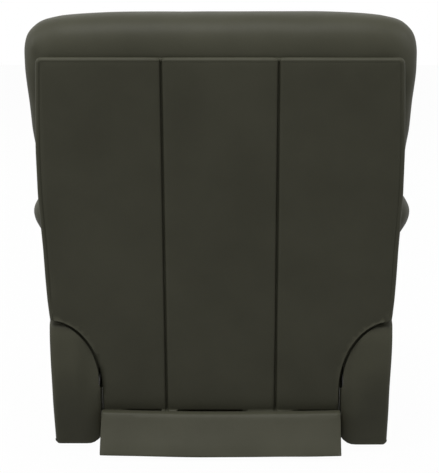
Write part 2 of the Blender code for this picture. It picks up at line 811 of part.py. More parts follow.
def build_valance(leather):
    front = BASE_REAR_Y + 2 * TOUCH + REAR_BOARD
    outline = [
        (front, VALANCE_FOLD_Z),
        (front, VALANCE_TOP_Z),
        (front + VALANCE_THICKNESS, VALANCE_TOP_Z),
        (front + VALANCE_THICKNESS + VALANCE_FLARE, VALANCE_BOTTOM_Z),
        (front + VALANCE_FLARE, VALANCE_BOTTOM_Z),
    ]
    outline = rounded(outline, VALANCE_THICKNESS / 3, 2)
    place("rear_valance", sheet_mesh(outline, [], -VALANCE_HALF, VALANCE_HALF), leather)


def build_seat(leather, plywood):
    half = PLATE_OUTER_X
    deck_low = (-half, DECK_FRONT_Y, DECK_BOTTOM_Z)
    deck_high = (half, DECK_REAR_Y, DECK_TOP_Z)
    place("seat_deck", box_mesh(deck_low, deck_high), plywood)
    seat = DECK_TOP_Z + TOUCH

    def shape_point(point, unit):
        point.x *= 1 - CUSHION_DRAW / CUSHION_HALF * (1 - unit[1] ** 2)
        if point.z < seat:
            point.z = seat
        if unit[2] > 0:
            point.z -= CUSHION_SEAM_DEPTH * groove(point.y - CUSHION_SEAM_Y, CUSHION_SEAM_WIDTH)
        return point

    low = (-CUSHION_HALF, CUSHION_FRONT_Y, seat - (CUSHION_TOP_Z - seat) / 3)
    high = (CUSHION_HALF, CUSHION_REAR_Y, CUSHION_TOP_Z)
    place("seat_cushion", cushion_mesh(low, high, CUSHION_CUTS, 2, (9, 3.2), shape_point), leather)


def panel_columns():
    """Places across the back panel from the middle outwards, as (x, lowest z)."""
    inner = [0, SEAM_X / 2, SEAM_X - SEAM_HALF, SEAM_X, SEAM_X + SEAM_HALF]
    inner += [(SEAM_X + TONGUE_HALF) / 2, TONGUE_HALF - PANEL_ROUND, TONGUE_HALF - WELD]
    columns = [(x, TONGUE_BOTTOM_Z) for x in inner]
    columns += corner_curve(0)
    return columns


def panel_rows():
    """Heights of the back panel above the reference row."""
    rows = [z + WING_GAP for z in shoulder_heights() if z + WING_GAP > CORNER_TOP_Z + WELD]
    rows += [(CORNER_TOP_Z + WING_TOP_Z) / 2, WING_TOP_Z, WING_TOP_Z + WING_STEP]
    rows += [(WING_TOP_Z + PANEL_TOP_Z) / 2, PANEL_TOP_Z - PANEL_ROUND, PANEL_TOP_Z]
    return rows


def panel_front(x, z):
    """The y of the back panel's front face."""
    rear = leaned(PANEL_REAR_Y, z)
    if x > WING_INNER_X and CORNER_TOP_Z < z <= WING_TOP_Z:
        return arm_rear(z - WING_GAP) + WING_GAP
    if x > BOARD_HALF and z <= CORNER_TOP_Z:
        return rear - PANEL_EDGE
    return rear - PANEL_THICKNESS


def panel_rear(x, z, lowest):
    """The y of the back panel's rear face, with its sewn seams and rounded edges."""
    rear = leaned(PANEL_REAR_Y, z)
    depth = 0
    if abs(x - SEAM_X) < SEAM_HALF / 2:
        depth = SEAM_DEPTH
    edge = min(PANEL_HALF - x, PANEL_TOP_Z - z, z - lowest)
    if edge < PANEL_ROUND / 3:
        depth = max(depth, PANEL_EDGE / 2)
    return rear - depth


def build_back_panel(leather):
    columns = panel_columns()
    columns = [(-x, low) for x, low in reversed(columns[1:])] + columns
    shares = (0, 0.1, 0.4, 0.75, 1)
    shape = bmesh.new()
    front = []
    rear = []
    for x, lowest in columns:
        reach = abs(x)
        heights = [lowest + (CORNER_TOP_Z - lowest) * share for share in shares]
        if CORNER_TOP_Z - lowest < WELD:
            heights = [CORNER_TOP_Z + WELD * (step - len(shares) + 1) for step in range(len(shares))]
        heights = heights + panel_rows()
        front.append([shape.verts.new((x, panel_front(reach, z), z)) for z in heights])
        rear.append([shape.verts.new((x, panel_rear(reach, z, lowest), z)) for z in heights])
    last = len(front[0]) - 1
    for column in range(len(columns) - 1):
        following = column + 1
        for row in range(last):
            for grid in (front, rear):
                near = grid[column][row:row + 2]
                far = grid[following][row:row + 2]
                shape.faces.new((near[0], far[0], far[1], near[1]))
        for row in (0, last):
            near = (front[column][row], rear[column][row])
            far = (front[following][row], rear[following][row])
            shape.faces.new((near[0], far[0], far[1], near[1]))
    for column in (0, len(columns) - 1):
        for row in range(last):
            near = front[column][row:row + 2]
            far = rear[column][row:row + 2]
            shape.faces.new((near[0], near[1], far[1], far[0]))
    bmesh.ops.recalc_face_normals(shape, faces=shape.faces)
    mesh = bpy.data.meshes.new("outer_back_panel")
    shape.to_mesh(mesh)
    shape.free()
    return mesh


def lean_mesh(mesh):
    """Shear an upright piece of the back to the back's lean."""
    for corner in mesh.vertices:
        corner.co.y = leaned(corner.co.y, corner.co.z)
    return mesh


def build_back(leather, plywood, steel, pivot):
    panel = build_back_panel(leather)
    place("outer_back_panel", panel, leather, pivot)
    board_rear = PANEL_REAR_Y - PANEL_THICKNESS - TOUCH
    board_front = board_rear - BOARD_THICKNESS
    outline = [
        (-BOARD_HALF, BOARD_BOTTOM_Z),
        (BOARD_HALF, BOARD_BOTTOM_Z),
        (BOARD_HALF, BOARD_STEP_Z),
        (BOARD_UPPER_HALF, BOARD_STEP_Z),
        (BOARD_UPPER_HALF, BOARD_TOP_Z),
        (-BOARD_UPPER_HALF, BOARD_TOP_Z),
        (-BOARD_UPPER_HALF, BOARD_STEP_Z),
        (-BOARD_HALF, BOARD_STEP_Z),
    ]
    board = lean_mesh(sheet_mesh(outline, [], board_front, board_rear, "Y"))
    place("back_board", board, plywood, pivot)
    cushion_rear = board_front - TOUCH
    build_head_pillow(cushion_rear, leather, pivot)
    build_lumbar(cushion_rear, leather, pivot)
    build_back_brackets(board_front, board_rear, steel, pivot)
    build_back_lug(board_front, steel, pivot)


def pillow_bottom(x):
    """The pillow arches over the lumbar cushion between two side bolsters."""
    inner = LUMBAR_HALF + LUMBAR_CLEARANCE
    share = min(max((x - inner) / BOLSTER_SLOPE, 0), 1)
    top = LUMBAR_TOP_Z + LUMBAR_CLEARANCE
    return top + (PILLOW_BOTTOM_Z - top) * share


def build_head_pillow(rear_y, leather, pivot):
    def shape_point(point, unit):
        below = max(PILLOW_WIDEST_Z - point.z, 0) / (PILLOW_WIDEST_Z - PILLOW_BOTTOM_Z)
        point.x *= 1 - PILLOW_NARROWING / PILLOW_HALF * below
        if unit[1] < 0:
            point.y += PILLOW_CHANNEL_DEPTH * groove(point.z - PILLOW_CHANNEL_Z, PILLOW_CHANNEL_WIDTH)
        if point.z > PILLOW_ROLL_Z:
            rise = (point.z - PILLOW_ROLL_Z) / (PILLOW_TOP_Z - PILLOW_ROLL_Z)
            bulge = math.sin(math.pi * min(rise * 1.1, 1)) if unit[1] > 0 else 0
            point.y = min(point.y, rear_y) + PILLOW_ROLL * bulge
        else:
            point.y = min(point.y, rear_y)
        point.z = max(point.z, pillow_bottom(abs(point.x)))
        point.y = leaned(point.y, point.z)
        return point

    depth = rear_y - PILLOW_FRONT_Y
    low = (-PILLOW_HALF, PILLOW_FRONT_Y, PILLOW_BOTTOM_Z)
    high = (PILLOW_HALF, rear_y + depth / 6, PILLOW_TOP_Z)
    mesh = cushion_mesh(low, high, PILLOW_CUTS, 0, (2.6, 6), shape_point)
    place("head_pillow", mesh, leather, pivot)


def build_lumbar(rear_y, leather, pivot):
    def shape_point(point, unit):
        point.x *= 1 - LUMBAR_TUCK / LUMBAR_HALF * (1 - unit[2] ** 2)
        point.y = leaned(min(point.y, rear_y), point.z)
        return point

    depth = rear_y - LUMBAR_FRONT_Y
    low = (-LUMBAR_HALF, LUMBAR_FRONT_Y, LUMBAR_BOTTOM_Z)
    high = (LUMBAR_HALF, rear_y + depth / 4, LUMBAR_TOP_Z)
    mesh = cushion_mesh(low, high, LUMBAR_CUTS, 0, (2.8, 7), shape_point)
    place("lumbar_cushion", mesh, leather, pivot)


def build_back_brackets(board_front, board_rear, steel, pivot):
    boss = arc((BACK_PIVOT_Y, BACK_PIVOT_Z), BACK_BOSS, math.pi, 3 * math.pi / 2)
    rear = board_rear - TOUCH
    front = board_rear - BRACKET_WIDTH
    outline = [
        (leaned(rear, BRACKET_BOTTOM_Z), BRACKET_BOTTOM_Z),
        (leaned(rear, BRACKET_TOP_Z), BRACKET_TOP_Z),
        (leaned(front, BRACKET_TOP_Z), BRACKET_TOP_Z),
        (leaned(front, BACK_PIVOT_Z + 2 * BACK_BOSS), BACK_PIVOT_Z + 2 * BACK_BOSS),
    ]
    outline = outline + boss
    hole = circle((BACK_PIVOT_Y, BACK_PIVOT_Z), PIN_RADIUS + PIVOT_PLAY, PIN_SIDES)
    flange = [
        (leaned(board_front, FLANGE_BOTTOM_Z), FLANGE_BOTTOM_Z),
        (leaned(rear, FLANGE_BOTTOM_Z), FLANGE_BOTTOM_Z),
        (leaned(rear, BRACKET_TOP_Z - OVERRUN), BRACKET_TOP_Z - OVERRUN),
        (leaned(board_front, BRACKET_TOP_Z - OVERRUN), BRACKET_TOP_Z - OVERRUN),
    ]
    inner, outer = layer(1)
    for name, side in both_sides():
        low, high = span(side, inner, outer)
        bracket = sheet_mesh(outline, [hole], low, high)
        flange_low, flange_high = span(side, BOARD_HALF + TOUCH, inner + BAR / 2)
        lip = sheet_mesh(flange, [], flange_low, flange_high)
        place("back_bracket_" + name, fused(bracket, [lip]), steel, pivot)


def lug_pin(turn=0):
    """The backrest drive pin as (y, z), after the back has reclined by a turn."""
    angle = math.pi / 2 + BACK_RECLINE / 2 - turn
    return (BACK_PIVOT_Y + LUG_RADIUS * math.cos(angle), BACK_PIVOT_Z + LUG_RADIUS * math.sin(angle))


def build_back_lug(board_front, steel, pivot):
    pin = Vector(lug_pin())
    normal = Vector((math.cos(BACK_LEAN), -math.sin(BACK_LEAN)))
    along = Vector((math.sin(BACK_LEAN), math.cos(BACK_LEAN)))
    face = Vector((leaned(board_front - TOUCH, pin.y), pin.y))
    reach = (face - pin).dot(normal)
    root = pin + normal * (reach - PLATE / 2)
    lug = sheet_mesh(bar_outline(tuple(pin), tuple(root), LUG_HALF), [], -CRANK / 2, CRANK / 2)
    end = pin + normal * reach
    corners = [
        end + along * LUG_FOOT_HALF_HEIGHT,
        end + along * LUG_FOOT_HALF_HEIGHT - normal * PLATE,
        end - along * LUG_FOOT_HALF_HEIGHT - normal * PLATE,
        end - along * LUG_FOOT_HALF_HEIGHT,
    ]
    foot = sheet_mesh([tuple(corner) for corner in corners], [], -LUG_FOOT_HALF_WIDTH, LUG_FOOT_HALF_WIDTH)
    beyond = end + normal * LUG_FOOT_HALF_HEIGHT
    trim_corners = [
        end + along * OVERRUN * 4,
        end - along * OVERRUN * 4,
        beyond - along * OVERRUN * 4,
        beyond + along * OVERRUN * 4,
    ]
    trim = sheet_mesh([tuple(corner) for corner in trim_corners], [], -OVERRUN, OVERRUN)
    lug = cut(lug, [trim])
    shaft = [(-CRANK_PIN_HALF, CRANK_PIN_RADIUS), (CRANK_PIN_HALF, CRANK_PIN_RADIUS)]
    pin_solid = turned_mesh(tuple(pin), shaft, PIN_SIDES)
    place("back_drive_lug", fused(foot, [lug, pin_solid]), steel, pivot)


def build_linkage(steel, pivots):
    points = {name: world(point) for name, point in linkage().items()}
    for name, side in both_sides():
        main = bar_mesh(side, points["lift"], points["lower"], 1, [(points["lift"], PIVOT_PLAY)])
        pins = [pin_mesh(side, points[key], 1, 2) for key in ("first_cross", "lower")]
        place("lift_link_" + name, fused(main, pins), steel, pivots["lift"])

        holes = [(points["first_cross"], PIVOT_PLAY), (points["upper"], PIVOT_PLAY)]
        cross = bar_mesh(side, points["slider"], points["upper"], 2, holes)
        start = layer(2)[0] + BAR / 2
        stop = PLATE_OUTER_X - PLATE / 4
        places = [(side * start, PIN_RADIUS), (side * stop, PIN_RADIUS)]
        follower = turned_mesh(points["slider"], places, PIN_SIDES)
        place("slide_link_" + name, fused(cross, [follower]), steel, pivots["slide"])

        holes = [(points[key], PIVOT_PLAY) for key in ("lower", "second_cross", "foot")]
        reach = bar_mesh(side, points["lower"], points["foot"], 2, holes)
        place("foot_link_" + name, reach, steel, pivots["reach"])

        holes = [(points["tilt_foot"], PIVOT_PLAY)]
        outer = bar_mesh(side, points["upper"], points["tilt_foot"], 1, holes)
        pins = [pin_mesh(side, points[key], 1, 2) for key in ("upper", "second_cross")]
        place("carry_link_" + name, fused(outer, pins), steel, pivots["carry"])

        tilt = bar_mesh(side, points["tilt_foot"], points["tilt_top"], 0, [], TILT_BAR)
        pins = []
        root = layer(0, TILT_BAR)[0] + TILT_BAR / 2
        for key, stop in (("tilt_foot", layer(1)[0]), ("tilt_top", layer(1)[0])):
            places = [(side * root, PIN_RADIUS), (side * stop, PIN_RADIUS)]
            pins.append(turned_mesh(points[key], places, PIN_SIDES))
        place("tilt_link_" + name, fused(tilt, pins), steel, pivots["tilt"])


def build_drive_shaft(steel, pivot):
    points = linkage()
    shaft = world(points["shaft"])
    pin = world(points["crank"])
    half = layer(1)[0] - TOUCH
    rod = turned_mesh(shaft, [(-half, SHAFT_RADIUS), (half, SHAFT_RADIUS)])
    arm = sheet_mesh(bar_outline(shaft, pin, CRANK_HALF), [], -CRANK / 2, CRANK / 2)
    places = [(-CRANK_PIN_HALF, CRANK_PIN_RADIUS), (CRANK_PIN_HALF, CRANK_PIN_RADIUS)]
    crank_pin = turned_mesh(pin, places, PIN_SIDES)
    place("drive_shaft", fused(rod, [arm, crank_pin]), steel, pivot)


def foot_place(down, forward):
    """A place on the closed footrest, from its pivot, as (y, z)."""
    pivot = world(linkage()["foot"])
    return (pivot[0] - forward, pivot[1] - down)


def build_footrest(leather, plywood, steel, pivot):
    outline = [
        foot_place(-FOOT_TAB, -FOOT_TAB),
        foot_place(FOOT_FLANGE_START, -FOOT_TAB),
        foot_place(FOOT_FLANGE_START, FOOT_BRACKET_V - FOOT_FLANGE),
        foot_place(FOOT_FLANGE_END, FOOT_BRACKET_V - FOOT_FLANGE),
        foot_place(FOOT_FLANGE_END, FOOT_BRACKET_V),
        foot_place(-FOOT_TAB, FOOT_BRACKET_V),
    ]
    points = {name: world(point) for name, point in linkage().items()}
    outline = rounded(outline, BAR_HALF / 2)
    hole = circle(points["tilt_hole"], PIN_RADIUS + TILT_PLAY, PIN_SIDES)
    parts = []
    for side in SIDES.values():
        low, high = span(side, *layer(1))
        parts.append(sheet_mesh(outline, [hole], low, high))
        parts.append(pin_mesh(side, points["foot"], 1, 2))
    half = layer(1)[0] + BAR / 2
    for start in FOOT_STRAP_STARTS:
        rear, top = foot_place(start, FOOT_BRACKET_V - BAR)
        front, bottom = foot_place(start + FOOT_STRAP, FOOT_BRACKET_V - WELD)
        parts.append(box_mesh((-half, front, bottom), (half, rear, top)))
    place("footrest_frame", fused(parts[0], parts[1:]), steel, pivot)

    rear, top = foot_place(-FOOT_BOARD_UP, FOOT_BRACKET_V + TOUCH)
    front, bottom = foot_place(FOOT_BOARD_DOWN, FOOT_BRACKET_V + TOUCH + FOOT_BOARD)
    board = box_mesh((-FOOT_BOARD_HALF, front, bottom), (FOOT_BOARD_HALF, rear, top))
    place("footrest_board", board, plywood, pivot)
    build_footrest_pad(front - TOUCH, bottom, top, leather, pivot)


def build_footrest_pad(seat_y, bottom, top, leather, pivot):
    middle = (bottom + top) / 2

    def shape_point(point, unit):
        point.y = min(point.y, seat_y)
        if unit[1] < 0:
            point.y += FOOT_PAD_CHANNEL * groove(point.z - middle, FOOT_PAD_CHANNEL_WIDTH)
        return point

    depth = seat_y - FOOT_PAD_FRONT_Y
    low = (-FOOT_PAD_HALF, FOOT_PAD_FRONT_Y, bottom - FOOT_PAD_MARGIN)
    high = (FOOT_PAD_HALF, seat_y + depth / 3, top + FOOT_PAD_MARGIN)
    mesh = cushion_mesh(low, high, FOOT_PAD_CUTS, 1, (9, 3.2), shape_point)
    place("footrest_pad", mesh, leather, pivot)


def motor_mesh(front, bottom, side):
    """A gearbox with a motor can on one side."""
    high = (MOTOR_HALF, front + MOTOR_LENGTH, bottom + MOTOR_HEIGHT)
    gearbox = soften(box_mesh((-MOTOR_HALF, front, bottom), high), MOTOR_EDGE, 1)
    centre = (front + MOTOR_LENGTH / 2, bottom + MOTOR_HEIGHT / 2)
    end = MOTOR_HALF + MOTOR_CAN_LENGTH
    places = [
        (side * (MOTOR_HALF - MOTOR_EDGE), MOTOR_CAN_RADIUS),
        (side * (end - MOTOR_EDGE), MOTOR_CAN_RADIUS),
        (side * end, MOTOR_CAN_RADIUS - MOTOR_EDGE),
    ]
    return fused(gearbox, [turned_mesh(centre, places)])


def drive_rail_mesh(start, end, end_block, bottom, screw_z, block_top):
    """A flat rail with an upright end block that carries the far end of the screw."""
    half = DRIVE_RAIL_WIDTH / 2
    rail = box_mesh((-half, start, bottom), (half, end, bottom + DRIVE_RAIL))
    reach = CRANK_PIN_HALF - CHEEK - SLIDE_PLAY
    low = (-reach, end_block[0], bottom + DRIVE_RAIL / 2)
    high = (reach, end_block[1], block_top)
    rail = fused(rail, [box_mesh(low, high)])
    hole = circle((0, screw_z), SCREW_RADIUS + PIVOT_PLAY, PIN_SIDES)
    bore = sheet_mesh(hole, [], end_block[0] - OVERRUN / 2, end_block[1] + OVERRUN / 2, "Y")
    return cut(rail, [bore])


def screw_mesh(start, end, z):
    outline = circle((0, z), SCREW_RADIUS, PIN_SIDES)
    return sheet_mesh(outline, [], start, end, "Y")


def slider_mesh(block_y, block_bottom, yoke_y, yoke_low, yoke_high):
    """A block on the screw, with two slotted cheeks that take the crank's pin."""
    half = CRANK_PIN_HALF - CHEEK
    top = block_bottom + BLOCK_HEIGHT
    low = (-BLOCK_HALF_WIDTH, block_y - BLOCK_HALF_LENGTH, block_bottom)
    high = (BLOCK_HALF_WIDTH, block_y + BLOCK_HALF_LENGTH, top)
    slider = box_mesh(low, high)
    cheek_start = min(yoke_y - CHEEK_HALF, block_y - BLOCK_HALF_LENGTH + WELD)
    cheek_end = yoke_y + CHEEK_HALF
    slot_half = CRANK_PIN_RADIUS + YOKE_CLEARANCE
    floor = block_bottom + WELD * 4
    outline = box_outline(cheek_start, floor, cheek_end, yoke_high + slot_half + YOKE_END)
    slot = bar_outline((yoke_y, yoke_low), (yoke_y, yoke_high), slot_half)
    cheeks = []
    for side in SIDES.values():
        span_low, span_high = span(side, half, BLOCK_HALF_WIDTH - WELD)
        cheeks.append(sheet_mesh(outline, [slot], span_low, span_high))
    slider = fused(slider, cheeks)
    hole = circle((0, block_bottom + BLOCK_HEIGHT / 2), SCREW_RADIUS + PIVOT_PLAY, PIN_SIDES)
    reach = BLOCK_HALF_LENGTH + OVERRUN
    bore = sheet_mesh(hole, [], block_y - reach, block_y + reach, "Y")
    return cut(slider, [bore])


def build_lift_drive(steel, zinc, plastic, pivots):
    points = linkage()
    closed_y, closed_z = world(points["crank"])
    open_y, _ = world(points["crank_open"])
    lowest_pin = LIFT_PIVOT_Z - CRANK_RADIUS
    block_top = lowest_pin - CRANK_HALF - YOKE_CLEARANCE
    block_bottom = block_top - BLOCK_HEIGHT
    rail_bottom = block_bottom - TOUCH - DRIVE_RAIL
    stop = open_y - BLOCK_HALF_LENGTH - BLOCK_RUN_OUT
    end_block = (stop - END_BLOCK, stop)
    motor_front = closed_y + LIFT_MOTOR_GAP
    screw_z = block_bottom + BLOCK_HEIGHT / 2
    rail = drive_rail_mesh(end_block[0], motor_front - TOUCH, end_block, rail_bottom, screw_z, block_top)
    place("footrest_drive_rail", rail, steel)
    place("footrest_motor", motor_mesh(motor_front, rail_bottom, 1), plastic)
    screw = screw_mesh(end_block[0] + WELD, motor_front - TOUCH, screw_z)
    place("footrest_screw", screw, zinc)
    slider = slider_mesh(closed_y, block_bottom, closed_y, lowest_pin, closed_z)
    place("footrest_slider", slider, zinc, pivots["lift_slider"])
    angle_top = rail_bottom - TOUCH
    place("cross_angle_front", angle_mesh(FRONT_ANGLE_Y, angle_top), steel)
    place("cross_angle_middle", angle_mesh(motor_front + MOTOR_ANGLE_INSET, angle_top), steel)


def build_back_drive(steel, zinc, plastic, pivots):
    rest_y, rest_z = lug_pin()
    full_y, _ = lug_pin(BACK_RECLINE)
    highest_pin = BACK_PIVOT_Z + LUG_RADIUS
    block_bottom = rest_z - BLOCK_HEIGHT / 2
    block_y = rest_y - BACK_BLOCK_OFFSET
    last_block = full_y - BACK_BLOCK_OFFSET
    stop = last_block + BLOCK_HALF_LENGTH + BLOCK_RUN_OUT
    end_block = (stop, stop + END_BLOCK)
    rail_start = end_block[1] - BACK_RAIL_LENGTH
    rail_bottom = block_bottom - TOUCH - DRIVE_RAIL
    screw_z = block_bottom + BLOCK_HEIGHT / 2
    block_top = block_bottom + BLOCK_HEIGHT
    rail = drive_rail_mesh(rail_start, end_block[1], end_block, rail_bottom, screw_z, block_top)
    place("back_drive_rail", rail, steel)
    motor_front = rail_start - TOUCH - MOTOR_LENGTH
    motor_bottom = screw_z - MOTOR_HEIGHT / 2
    place("back_motor", motor_mesh(motor_front, motor_bottom, -1), plastic)
    screw = screw_mesh(rail_start, end_block[1] - WELD, screw_z)
    place("back_screw", screw, zinc)
    slider = slider_mesh(block_y, block_bottom, rest_y, rest_z, highest_pin)
    place("back_slider", slider, zinc, pivots["back_slider"])
    place("cross_angle_rear", angle_mesh(BACK_ANGLE_Y, rail_bottom - TOUCH), steel)


def button_places():
    first = BEZEL_CENTRE_Y - BUTTON_PITCH * (BUTTON_COUNT - 1) / 2
    return [(first + BUTTON_PITCH * step, BEZEL_CENTRE_Z) for step in range(BUTTON_COUNT)]


def button_pocket():
    """The hollow in the right arm behind the buttons."""
    places = button_places()
    reach = BUTTON_FLANGE_RADIUS + BUTTON_POCKET_MARGIN / 2
    low = (-ARM_OUTER_X - OVERRUN, places[0][0] - reach, BEZEL_CENTRE_Z - reach)
    high = (-ARM_OUTER_X + BUTTON_POCKET_DEPTH, places[-1][0] + reach, BEZEL_CENTRE_Z + reach)
    return box_mesh(low, high)


def build_controls(plastic, button_plastic, pivots):
    face = ARM_OUTER_X + TOUCH
    outline = box_outline(
        BEZEL_CENTRE_Y - BEZEL_LENGTH / 2,
        BEZEL_CENTRE_Z - BEZEL_HEIGHT / 2,
        BEZEL_CENTRE_Y + BEZEL_LENGTH / 2,
        BEZEL_CENTRE_Z + BEZEL_HEIGHT / 2,
    )
    holes = [circle(centre, BUTTON_RADIUS + SLIDE_PLAY) for centre in button_places()]
    bezel = sheet_mesh(rounded(outline, BEZEL_RADIUS), holes, -face - BEZEL_THICKNESS, -face)
    place("control_bezel", bezel, plastic)
    flange_face = face - TOUCH
    floor = ARM_OUTER_X - BUTTON_POCKET_DEPTH + BUTTON_TRAVEL + 2 * TOUCH
    for number, centre in enumerate(button_places(), 1):
        profile = [
            (-face - BEZEL_THICKNESS - BUTTON_PROUD, BUTTON_RADIUS - BUTTON_PROUD / 3),
            (-face - BEZEL_THICKNESS - BUTTON_PROUD * 2 / 3, BUTTON_RADIUS),
            (-flange_face, BUTTON_RADIUS),
            (-flange_face, BUTTON_FLANGE_RADIUS),
            (-flange_face + BUTTON_FLANGE, BUTTON_FLANGE_RADIUS),
            (-flange_face + BUTTON_FLANGE, BUTTON_STEM_RADIUS),
            (-floor, BUTTON_STEM_RADIUS),
        ]
        name = "button_" + str(number)
        place(name, turned_mesh(centre, profile), button_plastic, pivots[name])


def build_power_inlet(plastic):
    top = GLIDE_HEIGHT - TOUCH
    rear = BASE_REAR_Y
    low = (INLET_X - INLET_HALF_WIDTH, rear - INLET_LENGTH, top - INLET_HEIGHT)
    high = (INLET_X + INLET_HALF_WIDTH, rear, top)
    body = soften(box_mesh(low, high), WELD * 3, 1)
    middle = top - INLET_HEIGHT / 2
    bottom = middle - INLET_SOCKET_HEIGHT / 2
    socket_low = (INLET_X - INLET_SOCKET_HALF_WIDTH, rear - INLET_SOCKET_DEPTH, bottom)
    socket_high = (INLET_X + INLET_SOCKET_HALF_WIDTH, rear + OVERRUN, bottom + INLET_SOCKET_HEIGHT)
    place("power_inlet", cut(body, [box_mesh(socket_low, socket_high)]), plastic)


def make_pivots():
    points = {name: world(point) for name, point in linkage().items()}
    pivots = {"back": pivot_at("back_pivot", 0, BACK_PIVOT_Y, BACK_PIVOT_Z)}
    joints = {
        "lift": "lift",
        "slide": "first_cross",
        "reach": "lower",
        "carry": "upper",
        "tilt": "tilt_foot",
        "foot": "foot",
        "lift_slider": "crank",
    }
    for name, point in joints.items():
        pivots[name] = pivot_at(name + "_pivot", 0, *points[point])
    pivots["back_slider"] = pivot_at("back_slider_pivot", 0, *lug_pin())
    for number, (y, z) in enumerate(button_places(), 1):
        name = "button_" + str(number)
        pivots[name] = pivot_at(name + "_pivot", -ARM_OUTER_X, y, z)
    return pivots


def main():
    clear_scene()
    leather = finish("leather", (0.037, 0.037, 0.027), 0.42)
    plywood = finish("plywood", (0.42, 0.29, 0.17), 0.7)
    wood = finish("hardwood", (0.36, 0.24, 0.14), 0.65)
    steel = finish("black_steel", (0.03, 0.03, 0.032), 0.4, 1.0)
    zinc = finish("zinc", (0.6, 0.6, 0.58), 0.3, 1.0)
    plastic = finish("black_plastic", (0.02, 0.02, 0.02), 0.45)
    button_plastic = finish("button_plastic", (0.1, 0.1, 0.1), 0.35)
    pivots = make_pivots()
    build_base(wood, steel, plastic)
    build_arms(leather, plywood)
    build_seat(leather, plywood)
    build_valance(leather)
    build_controls(plastic, button_plastic, pivots)
    build_power_inlet(plastic)
    build_lift_drive(steel, zinc, plastic, pivots)
    build_back_drive(steel, zinc, plastic, pivots)
    build_back(leather, plywood, steel, pivots["back"])
    build_drive_shaft(steel, pivots["lift"])
    build_linkage(steel, pivots)
    build_footrest(leather, plywood, steel, pivots["foot"])


main()
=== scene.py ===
"""Looks of a power recliner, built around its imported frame.

Units are metres and +Z is up. The chair faces -Y, its back is at +Y and the sitter's
left is +X. Places on the back are measured upright and then sheared to its lean.
"""

import math

import bmesh
import bpy
import numpy as np
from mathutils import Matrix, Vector, noise
from mathutils.bvhtree import BVHTree
from mathutils.geometry import delaunay_2d_cdt


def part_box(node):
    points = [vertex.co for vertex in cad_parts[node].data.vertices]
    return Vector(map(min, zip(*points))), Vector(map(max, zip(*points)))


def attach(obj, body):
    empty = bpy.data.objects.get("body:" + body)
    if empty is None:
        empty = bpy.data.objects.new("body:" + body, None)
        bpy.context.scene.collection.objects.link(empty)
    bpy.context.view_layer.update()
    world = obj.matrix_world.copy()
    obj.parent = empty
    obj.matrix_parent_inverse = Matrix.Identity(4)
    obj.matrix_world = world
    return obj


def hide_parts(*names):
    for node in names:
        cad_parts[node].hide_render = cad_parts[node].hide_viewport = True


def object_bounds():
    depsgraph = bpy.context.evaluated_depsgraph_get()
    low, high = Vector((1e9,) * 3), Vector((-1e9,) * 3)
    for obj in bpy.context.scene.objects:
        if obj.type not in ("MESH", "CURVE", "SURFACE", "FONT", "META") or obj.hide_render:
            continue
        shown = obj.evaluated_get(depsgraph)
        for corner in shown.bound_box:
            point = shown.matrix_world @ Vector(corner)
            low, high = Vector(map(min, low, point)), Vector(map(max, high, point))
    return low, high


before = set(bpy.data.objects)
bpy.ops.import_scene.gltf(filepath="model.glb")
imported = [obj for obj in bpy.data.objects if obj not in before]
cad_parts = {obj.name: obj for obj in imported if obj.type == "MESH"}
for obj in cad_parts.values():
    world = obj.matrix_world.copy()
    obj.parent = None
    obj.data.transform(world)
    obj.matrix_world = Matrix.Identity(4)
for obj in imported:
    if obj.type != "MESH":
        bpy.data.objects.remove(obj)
cad_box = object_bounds()

SIDES = {"left": 1, "right": -1}

# Lean of the back
BACK_LEAN = math.radians(14)
LEAN_DATUM_Z = 0.300

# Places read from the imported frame
PANEL_LOW, PANEL_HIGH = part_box("outer_back_panel")
VALANCE_LOW, VALANCE_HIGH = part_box("rear_valance")
SEAT_LOW, SEAT_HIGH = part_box("seat_cushion")
ARM_LOW, ARM_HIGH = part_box("arm_cover_left")
PAD_LOW, PAD_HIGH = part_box("arm_pad_left")
LUMBAR_LOW, LUMBAR_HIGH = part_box("lumbar_cushion")
PILLOW_LOW, PILLOW_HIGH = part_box("head_pillow")
FOOT_PAD_LOW, FOOT_PAD_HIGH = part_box("footrest_pad")
BEZEL_LOW, BEZEL_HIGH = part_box("control_bezel")

# Outer back panel, measured upright
PANEL_REAR_Y = 0.320
PANEL_THICKNESS = 0.015
PANEL_TOP_Z = PANEL_HIGH.z
PANEL_BOTTOM_Z = PANEL_LOW.z - 0.005
PANEL_TOP_HALF = 0.4065
PANEL_FOOT_HALF = 0.4015
# Half width of the outer back at each height, from its cut-away corners up
PANEL_HEIGHTS = (0.336, 0.391, 0.441, 0.515, 0.565, 0.648, 0.753, 0.860, 0.963)
PANEL_HALVES = (PANEL_FOOT_HALF, 0.4056, 0.4076, 0.4096, 0.4120, 0.4154, 0.4152, 0.4110, PANEL_TOP_HALF)
TONGUE_HALF = 0.2835
CORNER_TOP_Z = 0.336
CORNER_FOOT_Z = 0.165
PANEL_EDGE = 0.009
PANEL_TIGHT_EDGE = 0.0035
# Insets of the loops that carry the stitched groove inside the panel's two long edges
GROOVE_INSETS = (0.0096, 0.0104, 0.0112, 0.0125)
GROOVE_INSET = 0.0104
GROOVE_DEPTH = 0.0017
GROOVE_WIDTH = 0.0011
PANEL_CORNER = 0.013
PANEL_CROWN = 0.0022
SEAM_X = 0.130
SEAM_DEPTH = 0.0092
SEAM_WIDTH = 0.0027
SEAM_LIP = 0.012
SEAM_LIP_DEPTH = 0.0012
PANEL_SPACING = 0.012
BAND_LAP = 0.0002

